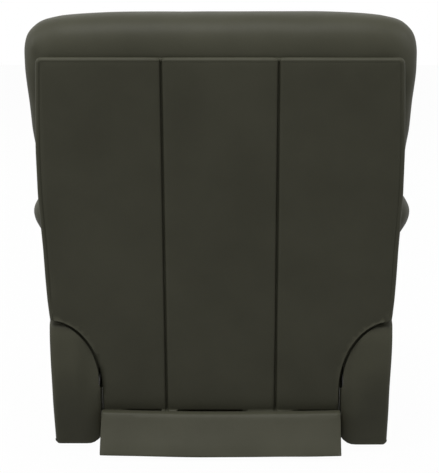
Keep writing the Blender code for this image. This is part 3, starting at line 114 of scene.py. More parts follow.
# Arms
ARM_SHOULDER_Y = 0.262
ARM_SHOULDER_Z = 0.360
ARM_HEEL_Y = 0.306
ARM_HEEL_Z = 0.290
ARM_FOOT_Y = 0.298
ARM_EDGE = 0.011
ARM_INNER_EDGE = 0.010
ARM_CROWN = 0.003
ARM_TAPER = 0.0020
ARM_REAR_DROP = 0.0066
ARM_SPREAD = 0.0032
ARM_UNDERCUT = 0.034
HEEL_BULGE_Y = 0.3225
REBATE_DEPTH_Y = 0.3085
ARM_GAP = 0.0042
REBATE_FOOT_Z = 0.060
WELT_RADIUS = 0.0030
WELT_PROUD_SHARE = 0.25
HINGE_Y = 0.268
HINGE_Z = 0.200
POCKET_RADIUS = 0.0395
POCKET_DEPTH = 0.006

# Fabric meshes
FINE = 0.010
CLOTH_PRESSURE = 4.0
CLOTH_FRAMES = 20
CHANNEL_HELD_SHARE = 0.9
CHANNEL_HELD_WIDTH = 0.006
CHANNEL_DEPTH = 0.005
CHANNEL_WIDTH = 0.005


def leaned(y, z):
    """Add the back's lean to a place that was measured on an upright back."""
    return y + (z - LEAN_DATUM_Z) * math.tan(BACK_LEAN)


def arc(centre, radius, start, end, steps):
    """Points on an arc, ends included; a pair of radii draws an ellipse."""
    wide, tall = radius if isinstance(radius, tuple) else (radius, radius)
    points = []
    for step in range(steps + 1):
        angle = start + (end - start) * step / steps
        points.append((centre[0] + wide * math.cos(angle), centre[1] + tall * math.sin(angle)))
    return points


def resampled(points, spacing):
    """Points at even steps along a closed outline, with its corners kept."""
    result = []
    for here, there in zip(points, points[1:] + points[:1]):
        here, there = Vector(here), Vector(there)
        steps = max(1, round((there - here).length / spacing))
        for step in range(steps):
            point = here.lerp(there, step / steps)
            result.append((point.x, point.y))
    return result


def rounded(points, radius, steps=5):
    """Round each corner of an outline with a short curve; a list gives each corner its own reach."""
    result = []
    reaches = radius if isinstance(radius, list) else [radius] * len(points)
    for index, corner in enumerate(points):
        here = Vector(corner)
        before = Vector(points[index - 1]) - here
        after = Vector(points[(index + 1) % len(points)]) - here
        if before.angle(after) > math.radians(165):
            result.append(corner)
            continue
        reach = min(reaches[index], before.length / 2.1, after.length / 2.1)
        start = here + before.normalized() * reach
        end = here + after.normalized() * reach
        for step in range(steps + 1):
            share = step / steps
            point = start * (1 - share) ** 2 + here * 2 * share * (1 - share) + end * share ** 2
            result.append((point.x, point.y))
    return result


def inset_loop(points, inset):
    """Move an outline that runs anticlockwise inwards."""
    here = np.array(points, float)
    before = here - np.roll(here, 1, axis=0)
    after = np.roll(here, -1, axis=0) - here
    before /= np.linalg.norm(before, axis=1)[:, None]
    after /= np.linalg.norm(after, axis=1)[:, None]
    first = np.stack((-before[:, 1], before[:, 0]), axis=1)
    second = np.stack((-after[:, 1], after[:, 0]), axis=1)
    middle = first + second
    middle /= np.linalg.norm(middle, axis=1)[:, None]
    reach = np.maximum((middle * first).sum(axis=1), 0.5)
    return here + middle * (inset / reach)[:, None]


def rim_distance(points, rim):
    """How far each point lies inside a rim; negative outside it."""
    points = np.asarray(points, float)
    start = np.asarray(rim, float)
    end = np.roll(start, -1, axis=0)
    nearest = np.full(len(points), np.inf)
    inside = np.zeros(len(points), bool)
    for a, b in zip(start, end):
        step = b - a
        share = np.clip(((points - a) @ step) / max(step @ step, 1e-18), 0, 1)
        gap = np.linalg.norm(points - a - share[:, None] * step, axis=1)
        nearest = np.minimum(nearest, gap)
        crosses = (a[1] > points[:, 1]) != (b[1] > points[:, 1])
        if a[1] != b[1]:
            at = a[0] + (points[:, 1] - a[1]) / (b[1] - a[1]) * (b[0] - a[0])
            inside ^= crosses & (points[:, 0] < at)
    return np.where(inside, nearest, -nearest)


def lines(low, high, spacing, seams=(), offsets=()):
    """Even places between two ends, with more of them close to each seam."""
    count = max(2, round((high - low) / spacing))
    places = list(np.linspace(low, high, count + 1))
    if seams:
        reach = max(offsets) + spacing / 2
        places = [p for p in places if all(abs(p - seam) > reach for seam in seams)]
        places += [seam + side * offset for seam in seams for offset in offsets for side in (-1, 1)]
    return sorted(set(round(p, 7) for p in places if low <= p <= high))


def to_mesh(name, corners, faces):
    """A smooth-shaded mesh whose faces point outwards."""
    shape = bmesh.new()
    made = [shape.verts.new(tuple(corner)) for corner in corners]
    for face in faces:
        shape.faces.new([made[index] for index in face])
    loose = [vert for vert in shape.verts if not vert.link_faces]
    bmesh.ops.delete(shape, geom=loose, context="VERTS")
    bmesh.ops.recalc_face_normals(shape, faces=shape.faces)
    mesh = bpy.data.meshes.new(name)
    shape.to_mesh(mesh)
    shape.free()
    mesh.shade_smooth()
    return mesh


def edge_stations(radius, low, high, steps=5, straight=0.010):
    """Insets and heights of the loops round a panel whose two edges are rounded."""
    near, far = radius if isinstance(radius, tuple) else (radius, radius)
    result = []
    for step in range(steps + 1):
        angle = math.pi / 2 * (1 - step / steps)
        result.append((near * (1 - math.cos(angle)), low + near * (1 - math.sin(angle))))
    count = max(1, round((high - far - low - near) / straight))
    for step in range(1, count):
        result.append((0, low + near + (high - far - low - near) * step / count))
    for step in range(steps + 1):
        angle = math.pi / 2 * step / steps
        result.append((far * (1 - math.cos(angle)), high - far * (1 - math.sin(angle))))
    return result


def padded_panel(name, outline, stations, columns, rows, crown, place, limits=np.inf):
    """A closed panel: loops of its outline from one face to the other, and two filled faces.

    stations gives each loop's inset and height, crown(face, a, b, depth) the extra height of a
    point inside a face, place(a, b, height) its position in the room, and limits the furthest
    that each point of the outline may be inset.
    """
    corners = []
    faces = []
    loops = []
    for inset, height in stations:
        loop = inset_loop(outline, np.minimum(inset, limits))
        loops.append([len(corners) + index for index in range(len(loop))])
        corners += [place(a, b, height) for a, b in loop]
    count = len(outline)
    for near, far in zip(loops, loops[1:]):
        for index in range(count):
            following = (index + 1) % count
            faces.append((near[index], near[following], far[following], far[index]))
    grid = np.array([(a, b) for a in columns for b in rows])
    for face, loop, (inset, height) in ((-1, loops[0], stations[0]), (1, loops[-1], stations[-1])):
        rim = inset_loop(outline, np.minimum(inset, limits))
        depth = rim_distance(grid, rim)
        margin = 0.35 * min(columns[1] - columns[0], rows[1] - rows[0])
        chosen = grid[depth > max(margin, 0.0025)]
        inner = rim_distance(chosen, rim)
        flat = [Vector(point) for point in rim] + [Vector(point) for point in chosen]
        result = delaunay_2d_cdt(flat, [], [list(range(count))], 1, 1e-7)
        index_of = {}
        for new, old in enumerate(result[3]):
            if old and old[0] < count:
                index_of[new] = loop[old[0]]
            else:
                a, b = result[0][new]
                extra = crown(face, a, b, inner[old[0] - count]) if old else 0
                index_of[new] = len(corners)
                corners.append(place(a, b, height + face * extra))
        for triangle in result[2]:
            ring = tuple(index_of[index] for index in triangle)
            faces.append(ring if face > 0 else ring[::-1])
    return to_mesh(name, corners, faces)


def power_round(values, powers):
    """Scale a point of a unit box onto a rounded box: two ring axes first, then the last."""
    first, second, last = (abs(value) for value in values)
    ring = (first ** powers[0] + second ** powers[0]) ** (1 / powers[0])
    return (ring ** powers[1] + last ** powers[1]) ** (1 / powers[1])


def cushion(name, low, high, spacing, end_axis, powers, shape_point):
    """A crowned closed form in a box, from even lines over it, with a last step that shapes it."""
    counts = [max(4, round((b - a) / spacing)) for a, b in zip(low, high)]
    order = [axis for axis in range(3) if axis != end_axis] + [end_axis]
    corners = []
    faces = []
    found = {}

    def corner(key):
        if key not in found:
            unit = [2 * step / count - 1 for step, count in zip(key, counts)]
            scale = power_round([unit[axis] for axis in order], powers)
            unit = [value / scale for value in unit]
            point = Vector([(a + b) / 2 + (b - a) / 2 * u for a, b, u in zip(low, high, unit)])
            found[key] = len(corners)
            corners.append(shape_point(point, unit))
        return found[key]

    for axis in range(3):
        across, along = [other for other in range(3) if other != axis]
        for end in (0, counts[axis]):
            for a in range(counts[across]):
                for b in range(counts[along]):
                    ring = []
                    for step_a, step_b in ((0, 0), (1, 0), (1, 1), (0, 1)):
                        key = [0, 0, 0]
                        key[axis] = end
                        key[across] = a + step_a
                        key[along] = b + step_b
                        ring.append(corner(tuple(key)))
                    faces.append(ring)
    return to_mesh(name, corners, faces)


def read(items, attribute, width=3, kind=float):
    """One property of each point, edge or normal of a mesh, as rows."""
    found = np.zeros(len(items) * width, kind)
    items.foreach_get(attribute, found)
    return found.reshape(-1, width)


def points_of(mesh):
    return read(mesh.vertices, "co")


def normals_of(mesh):
    return read(mesh.vertex_normals, "vector")


def linked(name, data):
    """A new object that is in the scene."""
    thing = bpy.data.objects.new(name, data)
    bpy.context.scene.collection.objects.link(thing)
    return thing


def evaluated(thing):
    """The object with its modifiers applied."""
    return thing.evaluated_get(bpy.context.evaluated_depsgraph_get())


def move_points(mesh, points):
    mesh.vertices.foreach_set("co", np.asarray(points, float).ravel())
    mesh.update()


def bell(distance, width):
    """One at zero distance and falling smoothly beside it."""
    return np.exp(-(np.asarray(distance) / width) ** 2)


def step_up(values, start, end):
    """A smooth change from zero to one between two places."""
    share = np.clip((np.asarray(values) - start) / (end - start), 0, 1)
    return share * share * (3 - 2 * share)


def push(mesh, depth):
    """Move each point along its normal by its own depth, outwards where it is positive."""
    move_points(mesh, points_of(mesh) + normals_of(mesh) * np.asarray(depth)[:, None])


def ripple(mesh, height, size, seed):
    """Low, wide unevenness, as leather has over padding."""
    points = points_of(mesh)
    offset = Vector((seed * 3.1, seed * 1.7, seed * 2.3))
    found = [noise.noise(Vector(point) / size + offset) for point in points]
    push(mesh, height * np.array(found))


def inflate(mesh, held, reach, grow):
    """Swell a closed mesh as cloth full of air. Points with held at one stay where they are."""
    rest = points_of(mesh)
    piece = linked("cloth", mesh)
    group = piece.vertex_groups.new(name="held")
    levels = np.round(np.clip(held, 0, 1), 2)
    for level in sorted(set(levels)):
        if level > 0:
            group.add([int(index) for index in np.nonzero(levels == level)[0]], float(level), "REPLACE")
    cloth = piece.modifiers.new("cloth", "CLOTH")
    settings = cloth.settings
    settings.quality = 5
    settings.mass = 0.3
    settings.tension_stiffness = 15
    settings.compression_stiffness = 15
    settings.shear_stiffness = 8
    settings.bending_stiffness = 0.4
    settings.use_pressure = True
    settings.uniform_pressure_force = CLOTH_PRESSURE
    settings.shrink_min = -grow
    settings.vertex_group_mass = "held"
    settings.pin_stiffness = 1.0
    settings.effector_weights.gravity = 0
    cloth.collision_settings.use_collision = False
    cloth.collision_settings.use_self_collision = False
    cloth.point_cache.frame_start = 1
    cloth.point_cache.frame_end = CLOTH_FRAMES
    scene = bpy.context.scene
    for number in range(1, CLOTH_FRAMES + 1):
        scene.frame_set(number)
    moved = points_of(evaluated(piece).data) - rest
    scene.frame_set(1)
    bpy.data.objects.remove(piece, do_unlink=True)
    length = np.linalg.norm(moved, axis=1)
    limit = reach * np.tanh(length / reach)
    moved *= (limit / np.maximum(length, 1e-9))[:, None]
    move_points(mesh, rest + moved)


def swollen(mesh, held, reach, grow, low, high):
    """A cushion full of air, kept between two corners of a box and then subdivided."""
    inflate(mesh, held, reach, grow)
    move_points(mesh, np.clip(points_of(mesh), low, high))
    return subdivided(mesh)


def held_at(fixed, line, facing):
    """How firmly points are held: wholly where fixed, and nearly so along a sewn line."""
    sewn = CHANNEL_HELD_SHARE * bell(line, CHANNEL_HELD_WIDTH) * facing
    return np.maximum(np.where(fixed, 1.0, 0.0), sewn)


def sewn_channel(mesh, line, facing, depth, width, crease, seed):
    """A sharp channel where line is zero, in a wider hollow, with short creases beside it."""
    along = points_of(mesh)[:, 0]
    push(mesh, -(CHANNEL_DEPTH * bell(line, CHANNEL_WIDTH) + depth * bell(line, width)) * facing)
    gathers(mesh, line, along, crease * facing, seed)


def gathers(mesh, line, along, height, seed):
    """Short creases that run away from a sewn channel; line is each point's distance from it."""
    spacing = 0.017
    middle = 0.014
    width = 0.012
    wave = [noise.noise(Vector((value / spacing, seed * 5.3, 0.2))) for value in along]
    beside = bell(np.abs(line) - middle, width)
    push(mesh, height * np.array(wave) * beside)


def relax(mesh, times, share):
    """Even out small jumps between neighbouring points; share may differ for each point."""
    points = points_of(mesh)
    edges = read(mesh.edges, "vertices", 2, int)
    links = np.bincount(edges.ravel(), minlength=len(points))[:, None]
    for _ in range(times):
        total = np.zeros_like(points)
        np.add.at(total, edges[:, 0], points[edges[:, 1]])
        np.add.at(total, edges[:, 1], points[edges[:, 0]])
        points = points + np.reshape(share, (-1, 1)) * (total / links - points)
    move_points(mesh, points)


def smoothed(values):
    """A row of numbers, evened out twice with their neighbours."""
    for _ in range(2):
        padded = np.concatenate((values[:1], values, values[-1:]))
        values = (padded[:-2] + 2 * padded[1:-1] + padded[2:]) / 4
    return values


def subdivided(mesh):
    """The mesh with one smooth subdivision."""
    piece = linked("finer", mesh)
    finer = piece.modifiers.new("finer", "SUBSURF")
    finer.levels = 1
    finer.render_levels = 1
    result = bpy.data.meshes.new_from_object(evaluated(piece))
    bpy.data.objects.remove(piece, do_unlink=True)
    result.shade_smooth()
    return result


def drum(name, near, far):
    """A closed body between two outlines of as many points."""
    count = len(near)
    faces = [tuple(range(count)), tuple(range(count, 2 * count))]
    for index in range(count):
        following = (index + 1) % count
        faces.append((index, following, count + following, count + index))
    return to_mesh(name, near + far, faces)


def prism(outline, low, high):
    """An outline in (y, z) drawn out between two places along X."""
    return drum("prism", [(low, y, z) for y, z in outline], [(high, y, z) for y, z in outline])


def without(mesh, cutters):
    """Cut closed meshes out of a mesh."""
    things = [linked("base", mesh)]
    for cutter in cutters:
        things.append(linked("cutter", cutter))
        step = things[0].modifiers.new("cut", "BOOLEAN")
        step.operation = "DIFFERENCE"
        step.solver = "EXACT"
        step.object = things[-1]
    result = bpy.data.meshes.new_from_object(evaluated(things[0]))
    for thing in things:
        bpy.data.objects.remove(thing, do_unlink=True)
    return result


def tube_mesh(name, path, radius, sides):
    """A round cord along a path, with closed ends."""
    corners = []
    faces = []
    count = len(path)
    previous = None
    for index, here in enumerate(path):
        along = (path[min(index + 1, count - 1)] - path[max(index - 1, 0)]).normalized()
        side = along.orthogonal() if previous is None else previous - along * previous.dot(along)
        side.normalize()
        previous = side
        other = along.cross(side)
        for turn in range(sides):
            angle = 2 * math.pi * turn / sides
            corners.append(here + radius * (math.cos(angle) * side + math.sin(angle) * other))
    for start in range(0, (count - 1) * sides, sides):
        for turn in range(sides):
            after = (turn + 1) % sides
            faces.append((start + turn, start + after, start + sides + after, start + sides + turn))
    faces.append(tuple(range(sides)))
    faces.append(tuple((count - 1) * sides + turn for turn in range(sides)))
    return to_mesh(name, corners, faces)


def link_object(name, mesh, material):
    mesh.materials.clear()
    mesh.materials.append(material)
    return linked(name, mesh)


def add_piece(name, mesh, body, nodes=()):
    """Put a finished leather mesh in the scene: what it rides on, and what it stands for."""
    piece = link_object(name, mesh, leather)
    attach(piece, body)
    if nodes:
        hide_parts(*nodes)


def joined(name, meshes):
    """Several meshes as one, still as separate closed bodies."""
    shape = bmesh.new()
    for mesh in meshes:
        shape.from_mesh(mesh)
        bpy.data.meshes.remove(mesh)
    result = bpy.data.meshes.new(name)
    shape.to_mesh(result)
    shape.free()
    result.shade_smooth()
    return result


# Materials, each with its darkest and lightest tone

LEATHER_TONES = ((0.0282, 0.0280, 0.0190), (0.0332, 0.0330, 0.0226))
DUST_CLOTH_TONES = ((0.010, 0.010, 0.010), (0.026, 0.026, 0.025))
PLYWOOD_TONES = ((0.30, 0.19, 0.10), (0.50, 0.35, 0.20))
HARDWOOD_TONES = ((0.24, 0.15, 0.08), (0.42, 0.29, 0.17))
STEEL_TONES = ((0.012, 0.012, 0.013), (0.022, 0.022, 0.023))
ZINC_TONES = ((0.42, 0.42, 0.41), (0.60, 0.60, 0.58))
BLACK_PLASTIC_TONES = ((0.010, 0.010, 0.010), (0.020, 0.020, 0.020))
BUTTON_TONES = ((0.10, 0.10, 0.10), (0.15, 0.15, 0.15))
LEATHER_SPECULAR = 0.09


def feed(tree, node, inputs):
    """Give a node its inputs: a socket is linked, any other value is set."""
    for name, value in inputs.items():
        if isinstance(value, bpy.types.NodeSocket):
            tree.links.new(value, node.inputs[name])
        else:
            node.inputs[name].default_value = value


def add_node(tree, kind, inputs, **settings):
    found = tree.nodes.new("ShaderNode" + kind)
    for name, value in settings.items():
        setattr(found, name, value)
    feed(tree, found, inputs)
    return found


class Finish:
    """A procedural material in the making. Its patterns lie in the piece's own space."""

    def __init__(self, name):
        self.material = bpy.data.materials.new(name)
        self.material.use_nodes = True
        self.tree = self.material.node_tree
        self.shader = self.tree.nodes["Principled BSDF"]
        self.place = self.tree.nodes.new("ShaderNodeTexCoord").outputs["Object"]

    def add(self, kind, inputs, **settings):
        return add_node(self.tree, kind, inputs, **settings)

    def shade(self, **inputs):
        """Set the shader's inputs, named as they are with an underscore for each space."""
        feed(self.tree, self.shader, {name.replace("_", " "): value for name, value in inputs.items()})

    def noise(self, scale, detail=3.0, roughness=0.55):
        inputs = {"Scale": scale, "Detail": detail, "Roughness": roughness, "Vector": self.place}
        return self.add("TexNoise", inputs).outputs["Fac"]

    def wave(self, direction, scale, distortion):
        inputs = {"Scale": scale, "Distortion": distortion, "Vector": self.place}
        return self.add("TexWave", inputs, bands_direction=direction).outputs["Fac"]

    def blend(self, first, second, share):
        inputs = {"Factor": share, "A": first, "B": second}
        return self.add("Mix", inputs, data_type="FLOAT").outputs["Result"]

    def colour(self, source, tones, low=0.3, high=0.7):
        ramp = self.add("ValToRGB", {"Fac": source})
        for element, position, tone in zip(ramp.color_ramp.elements, (low, high), tones):
            element.position = position
            element.color = (*tone, 1.0)
        self.shade(Base_Color=ramp.outputs["Color"])

    def bump(self, height, strength, distance, **before):
        inputs = {"Strength": strength, "Distance": distance, "Height": height, **before}
        normal = self.add("Bump", inputs).outputs["Normal"]
        self.shade(Normal=normal)
        return normal

    def gloss(self, source, low, high):
        """Let the roughness vary between two values."""
        found = self.add("MapRange", {"To Min": low, "To Max": high, "Value": source})
        self.shade(Roughness=found.outputs["Result"])


def leather_material():
    """Smooth pigmented leather: fine pebbled grain, faint creases and slight colour drift."""
    finish = Finish("leather")
    drift = finish.noise(7.0, 4.0)
    speck = finish.noise(420.0, 2.0)
    finish.colour(finish.blend(drift, speck, 0.22), LEATHER_TONES, low=0.36, high=0.64)
    inputs = {"Scale": 620.0, "Smoothness": 0.35, "Vector": finish.place}
    pebbles = finish.add("TexVoronoi", inputs, feature="SMOOTH_F1")
    creases = finish.noise(95.0, 5.0, 0.6)
    fine = finish.bump(pebbles.outputs["Distance"], strength=0.20, distance=0.00035)
    finish.bump(creases, strength=0.16, distance=0.0008, Normal=fine)
    finish.gloss(creases, 0.46, 0.60)
    finish.shade(Specular_IOR_Level=LEATHER_SPECULAR)
    return finish.material


def wood_material(name, tones, stretch, grain_scale):
    """Sawn wood or plywood: long grain along one axis with fine pores."""
    finish = Finish(name)
    inputs = {"Scale": stretch, "Vector": finish.place}
    finish.place = finish.add("Mapping", inputs).outputs["Vector"]
    grain = finish.noise(grain_scale, 6.0, 0.6)
    pores = finish.noise(grain_scale * 9)
    figure = finish.blend(grain, pores, 0.3)
    finish.colour(figure, tones, low=0.35, high=0.65)
    finish.bump(figure, strength=0.3, distance=0.0006)
    finish.gloss(pores, 0.55, 0.75)
    return finish.material


def steel_material():
    """Black powder-coated steel with an orange-peel surface."""
    finish = Finish("black_steel")
    drift = finish.noise(18.0, 4.0)
    finish.colour(drift, STEEL_TONES)
    finish.bump(finish.noise(700.0, 2.0), strength=0.25, distance=0.0003)
    finish.gloss(drift, 0.36, 0.5)
    finish.shade(Metallic=0.3)
    return finish.material


def zinc_material():
    """Bright zinc plate with faint turning marks and dull patches."""
    finish = Finish("zinc")
    patches = finish.noise(60.0, 4.0)
    finish.colour(patches, ZINC_TONES)
    finish.bump(finish.wave("Y", 160.0, 0.4), strength=0.35, distance=0.0008)
    finish.gloss(patches, 0.25, 0.42)
    finish.shade(Metallic=1.0)
    return finish.material


def plastic_material(name, tones, low_gloss, high_gloss):
    """Moulded plastic with a fine spark-eroded texture."""
    finish = Finish(name)
    spark = finish.noise(1100.0, 2.0)
    finish.colour(finish.noise(30.0), tones)
    finish.bump(spark, strength=0.2, distance=0.0002)
    finish.gloss(spark, low_gloss, high_gloss)
    return finish.material


def cloth_material():
    """Black dust cloth, a thin woven cover over the boards."""
    finish = Finish("dust_cloth")
    threads = {0: finish.wave("X", 420.0, 0.6), 1: finish.wave("Z", 420.0, 0.6)}
    weave = finish.add("Math", threads, operation="ADD").outputs["Value"]
    finish.colour(weave, DUST_CLOTH_TONES, low=0.3, high=1.0)
    finish.bump(weave, strength=0.3, distance=0.0003)
    finish.shade(Roughness=0.85)
    return finish.material


leather = leather_material()
dust_cloth = cloth_material()
plywood_flat = wood_material("plywood_flat", PLYWOOD_TONES, (1.0, 0.08, 1.0), 38.0)
hardwood = wood_material("hardwood", HARDWOOD_TONES, (1.0, 0.07, 1.0), 52.0)
hardwood_cross = wood_material("hardwood_cross", HARDWOOD_TONES, (0.07, 1.0, 1.0), 52.0)
black_steel = steel_material()
zinc = zinc_material()
black_plastic = plastic_material("black_plastic", BLACK_PLASTIC_TONES, 0.42, 0.55)
button_plastic = plastic_material("button_plastic", BUTTON_TONES, 0.35, 0.45)


# Outer back panel

def panel_half(z):
    """Half the outer back panel's width at a height above its cut-away corners."""
    return float(np.interp(z, PANEL_HEIGHTS, PANEL_HALVES))


def corner_curve(steps=28, half=PANEL_FOOT_HALF):
    """The panel's lower corner, a quarter of an ellipse, from its foot up to its top."""
    centre = (half, CORNER_FOOT_Z)
    wide = half - TONGUE_HALF
    return arc(centre, (wide, CORNER_TOP_Z - CORNER_FOOT_Z), math.pi, math.pi / 2, steps)


def back_panel_outline(columns):
    """The outer back panel from behind, anticlockwise in (x, z), for x to the left."""
    half_points = [(TONGUE_HALF, PANEL_BOTTOM_Z)]
    rise = CORNER_FOOT_Z - PANEL_BOTTOM_Z
    half_points += [(TONGUE_HALF, PANEL_BOTTOM_Z + rise * step / 6) for step in range(1, 6)]
    half_points += corner_curve()[:-1]
    tip = 0.005
    half_points += arc((PANEL_FOOT_HALF - tip, CORNER_TOP_Z + tip), tip, -math.pi / 2, 0, 3)
    side_rise = PANEL_TOP_Z - PANEL_CORNER - CORNER_TOP_Z - tip
    count = round(side_rise / PANEL_SPACING)
    for step in range(1, count):
        z = CORNER_TOP_Z + tip + side_rise * step / count
        half_points.append((panel_half(z), z))
    centre = (PANEL_TOP_HALF - PANEL_CORNER, PANEL_TOP_Z - PANEL_CORNER)
    half_points += arc(centre, PANEL_CORNER, 0, math.pi / 2, 8)
    top = [(x, PANEL_TOP_Z) for x in reversed(columns) if abs(x) < centre[0] - 0.004]
    bottom = [(x, PANEL_BOTTOM_Z) for x in columns if abs(x) < TONGUE_HALF - 0.004]
    mirrored = [(-x, z) for x, z in reversed(half_points)]
    return half_points + top + mirrored + bottom


def outer_back_panel():
    offsets = (0, 0.0008, 0.0016, 0.0026, 0.0042, 0.007, 0.011, 0.017)
    widest = max(PANEL_HALVES)
    columns = lines(-widest, widest, PANEL_SPACING, (-SEAM_X, SEAM_X), offsets)
    rows = lines(PANEL_BOTTOM_Z, PANEL_TOP_Z, PANEL_SPACING)
    outline = back_panel_outline(columns)

    def crown(face, x, z, depth):
        if face < 0:
            return 0
        across = min(abs(abs(x) - SEAM_X), 0.09) / 0.09
        return PANEL_CROWN * min(1, depth / 0.07) ** 0.6 * (0.55 + 0.45 * across)

    def place(x, z, height):
        return (x, leaned(PANEL_REAR_Y + height, z), z)

    stations = edge_stations((0.002, PANEL_EDGE), -PANEL_THICKNESS, 0, 6)
    stations += [(inset, 0) for inset in GROOVE_INSETS]
    above = np.array([max(0, z - CORNER_TOP_Z) for x, z in outline])
    limits = PANEL_TIGHT_EDGE + 0.3 * above
    mesh = padded_panel("outer_back", outline, stations, columns, rows, crown, place, limits)
    x, _, z = points_of(mesh).T
    _, back, up = normals_of(mesh).T
    inset = rim_distance(np.stack((x, z), axis=1), outline)
    sides = step_up(z, CORNER_TOP_Z + 0.03, CORNER_TOP_Z + 0.08)
    sides *= 1 - 0.8 * step_up(z, PANEL_TOP_Z - 0.018, PANEL_TOP_Z - 0.012)
    push(mesh, -GROOVE_DEPTH * bell(inset - GROOVE_INSET, GROOVE_WIDTH) * sides * (back > 0.5))
    facing = step_up(back + up * (z > PANEL_TOP_Z / 2), 0.1, 0.6)
    gap = np.abs(x) - SEAM_X
    depth = SEAM_DEPTH * bell(gap, SEAM_WIDTH) + SEAM_LIP_DEPTH * bell(gap, SEAM_LIP)
    push(mesh, -depth * facing)
    ripple(mesh, 0.0007, 0.16, 2)
    add_piece("outer_back", mesh, "backrest", ["outer_back_panel"])


# Side bands of the back, round the edge of its board, and the wings behind the arms

def side_band(name, side):
    """A soft boxing strip between the outer back panel and the pillow."""
    outer = PANEL_TOP_HALF - 0.0045
    inner = outer - 0.016
    bottom = PILLOW_LOW.z + 0.001
    top = PILLOW_ROLL_Z - 0.003
    front = 0.2880
    rear = PANEL_REAR_Y - PANEL_THICKNESS + BAND_LAP

    def place(y, z, height):
        shrink = (PANEL_TOP_HALF - panel_half(z))
        return (side * (inner + height - shrink), leaned(y, z), z)

    outline = rounded([(front, bottom), (rear, bottom), (rear, top), (front, top)], 0.004)
    outline = resampled(outline, 0.010)
    stations = edge_stations(0.003, 0, outer - inner, 3)
    rows = lines(bottom, top, 0.010)
    mesh = padded_panel(name, outline, stations, lines(front, rear, 0.006), rows, lambda *_: 0.0, place)
    ripple(mesh, 0.0006, 0.05, 5)
    return mesh


def arm_rear(z):
    """The y of the arm's rear face at a height."""
    if z >= ARM_SHOULDER_Z:
        return ARM_SHOULDER_Y
    if z <= ARM_HEEL_Z:
        share = (z - ARM_LOW.z) / (ARM_HEEL_Z - ARM_LOW.z)
        return ARM_FOOT_Y + (ARM_HEEL_Y - ARM_FOOT_Y) * share
    share = (z - ARM_HEEL_Z) / (ARM_SHOULDER_Z - ARM_HEEL_Z)
    return ARM_SHOULDER_Y + (ARM_HEEL_Y - ARM_SHOULDER_Y) * math.sqrt(max(0, 1 - share ** 2))


def wing(name, side):
    """The back's side panel below the pillow, which follows the arm's round rear."""
    bottom = CORNER_TOP_Z + 0.002
    top = PILLOW_LOW.z - 0.004
    front = []
    count = 14
    for step in range(count + 1):
        z = bottom + (ARM_SHOULDER_Z + ARM_GAP - bottom) * step / count
        front.append((arm_rear(z - ARM_GAP) + ARM_GAP, z))
    rear = PANEL_REAR_Y - PANEL_THICKNESS + BAND_LAP
    outline = list(reversed(front)) + [(leaned(rear, bottom), bottom), (leaned(rear, top), top)]
    outline += [(ARM_SHOULDER_Y + ARM_GAP, top)]
    reaches = [0.006] * (len(outline) - 1) + [0.034]
    outline = resampled(rounded(outline, reaches), 0.008)
    inner = ARM_LOW.x + 0.0045
    outer = PANEL_FOOT_HALF

    def crown(face, y, z, depth):
        return 0.0025 * min(1, depth / 0.03)

    def place(y, z, height):
        spread = (panel_half(max(z, CORNER_TOP_Z)) - PANEL_FOOT_HALF) * step_up(height, 0.02, 0.11)
        front_edge = bell(y - ARM_SHOULDER_Y - ARM_GAP, 0.03)
        puff = 0.007 * float(step_up(z, PAD_HIGH.z - 0.030, PAD_HIGH.z) * front_edge)
        puff *= 1 - (2 * height / (outer - inner) - 1) ** 2
        return (side * (inner + height + float(spread) - 0.0035), y - puff, z)

    columns = lines(ARM_SHOULDER_Y, leaned(rear, top), 0.010)
    stations = edge_stations((0.003, 0.009), 0.0035, outer - inner + 0.0005, 5)
    mesh = padded_panel(name, outline, stations, columns, lines(bottom, top, 0.010), crown, place)
    ripple(mesh, 0.0008, 0.06, 7 + side)
    return mesh


def back_sides():
    for name, side in SIDES.items():
        add_piece("outer_back_band_" + name, side_band("band", side), "backrest")
        add_piece("outer_back_wing_" + name, wing("wing", side), "backrest")


# Rear valance

def rear_valance():
    half = VALANCE_HIGH.x + 0.0015
    top = 0.1105
    bottom = VALANCE_LOW.z - 0.0005
    bow = 0.0035
    thickness = 0.008
    spread = 0.0020
    roll = 0.018
    top_y = 0.3020
    bottom_y = VALANCE_HIGH.y

    def curve(x):
        return -bow * (1 - (x / half) ** 2)

    columns = lines(-half, half, 0.010)
    rows = lines(bottom - bow, top, 0.007)
    lower = [(x, bottom + curve(x)) for x in columns]
    upper = [(x, top + curve(x)) for x in reversed(columns)]
    outline = rounded(lower + upper, 0.003)
    outline = resampled(outline, 0.008)

    def place(x, z, height):
        share = min(max((top + curve(x) - z) / (top - bottom), 0), 1)
        outer = top_y + (bottom_y - top_y) * share ** 1.08
        depth = thickness + roll * (1 - float(step_up(share, 0.04, 0.22)))
        return (x * (1 + spread / half * share), outer - depth * (1 - height / thickness), z)

    def crown(face, x, z, depth):
        return 0.0012 * min(1, depth / 0.02) if face > 0 else 0

    stations = edge_stations(0.003, 0, thickness, 3, 0.003)
    mesh = padded_panel("valance", outline, stations, columns, rows, crown, place)
    ripple(mesh, 0.0012, 0.10, 11)
    add_piece("rear_skirt", mesh, "base", ["rear_valance"])


# Arms

def arm_outline():
    foot = [(ARM_LOW.y, ARM_LOW.z), (ARM_FOOT_Y, ARM_LOW.z)]
    rise = ARM_SHOULDER_Z - ARM_HEEL_Z
    steps = 14
    heights = [ARM_HEEL_Z + rise * math.sin(math.pi / 2 * step / steps) for step in range(steps + 1)]
    shoulder = [(arm_rear(z), z) for z in heights]
    top = [(ARM_SHOULDER_Y, ARM_HIGH.z), (ARM_LOW.y, ARM_HIGH.z)]
    reaches = [0.012, 0.005] + [0.004] * len(shoulder) + [0.012, 0.022]
    return resampled(rounded(foot + shoulder + top, reaches, 6), 0.006)


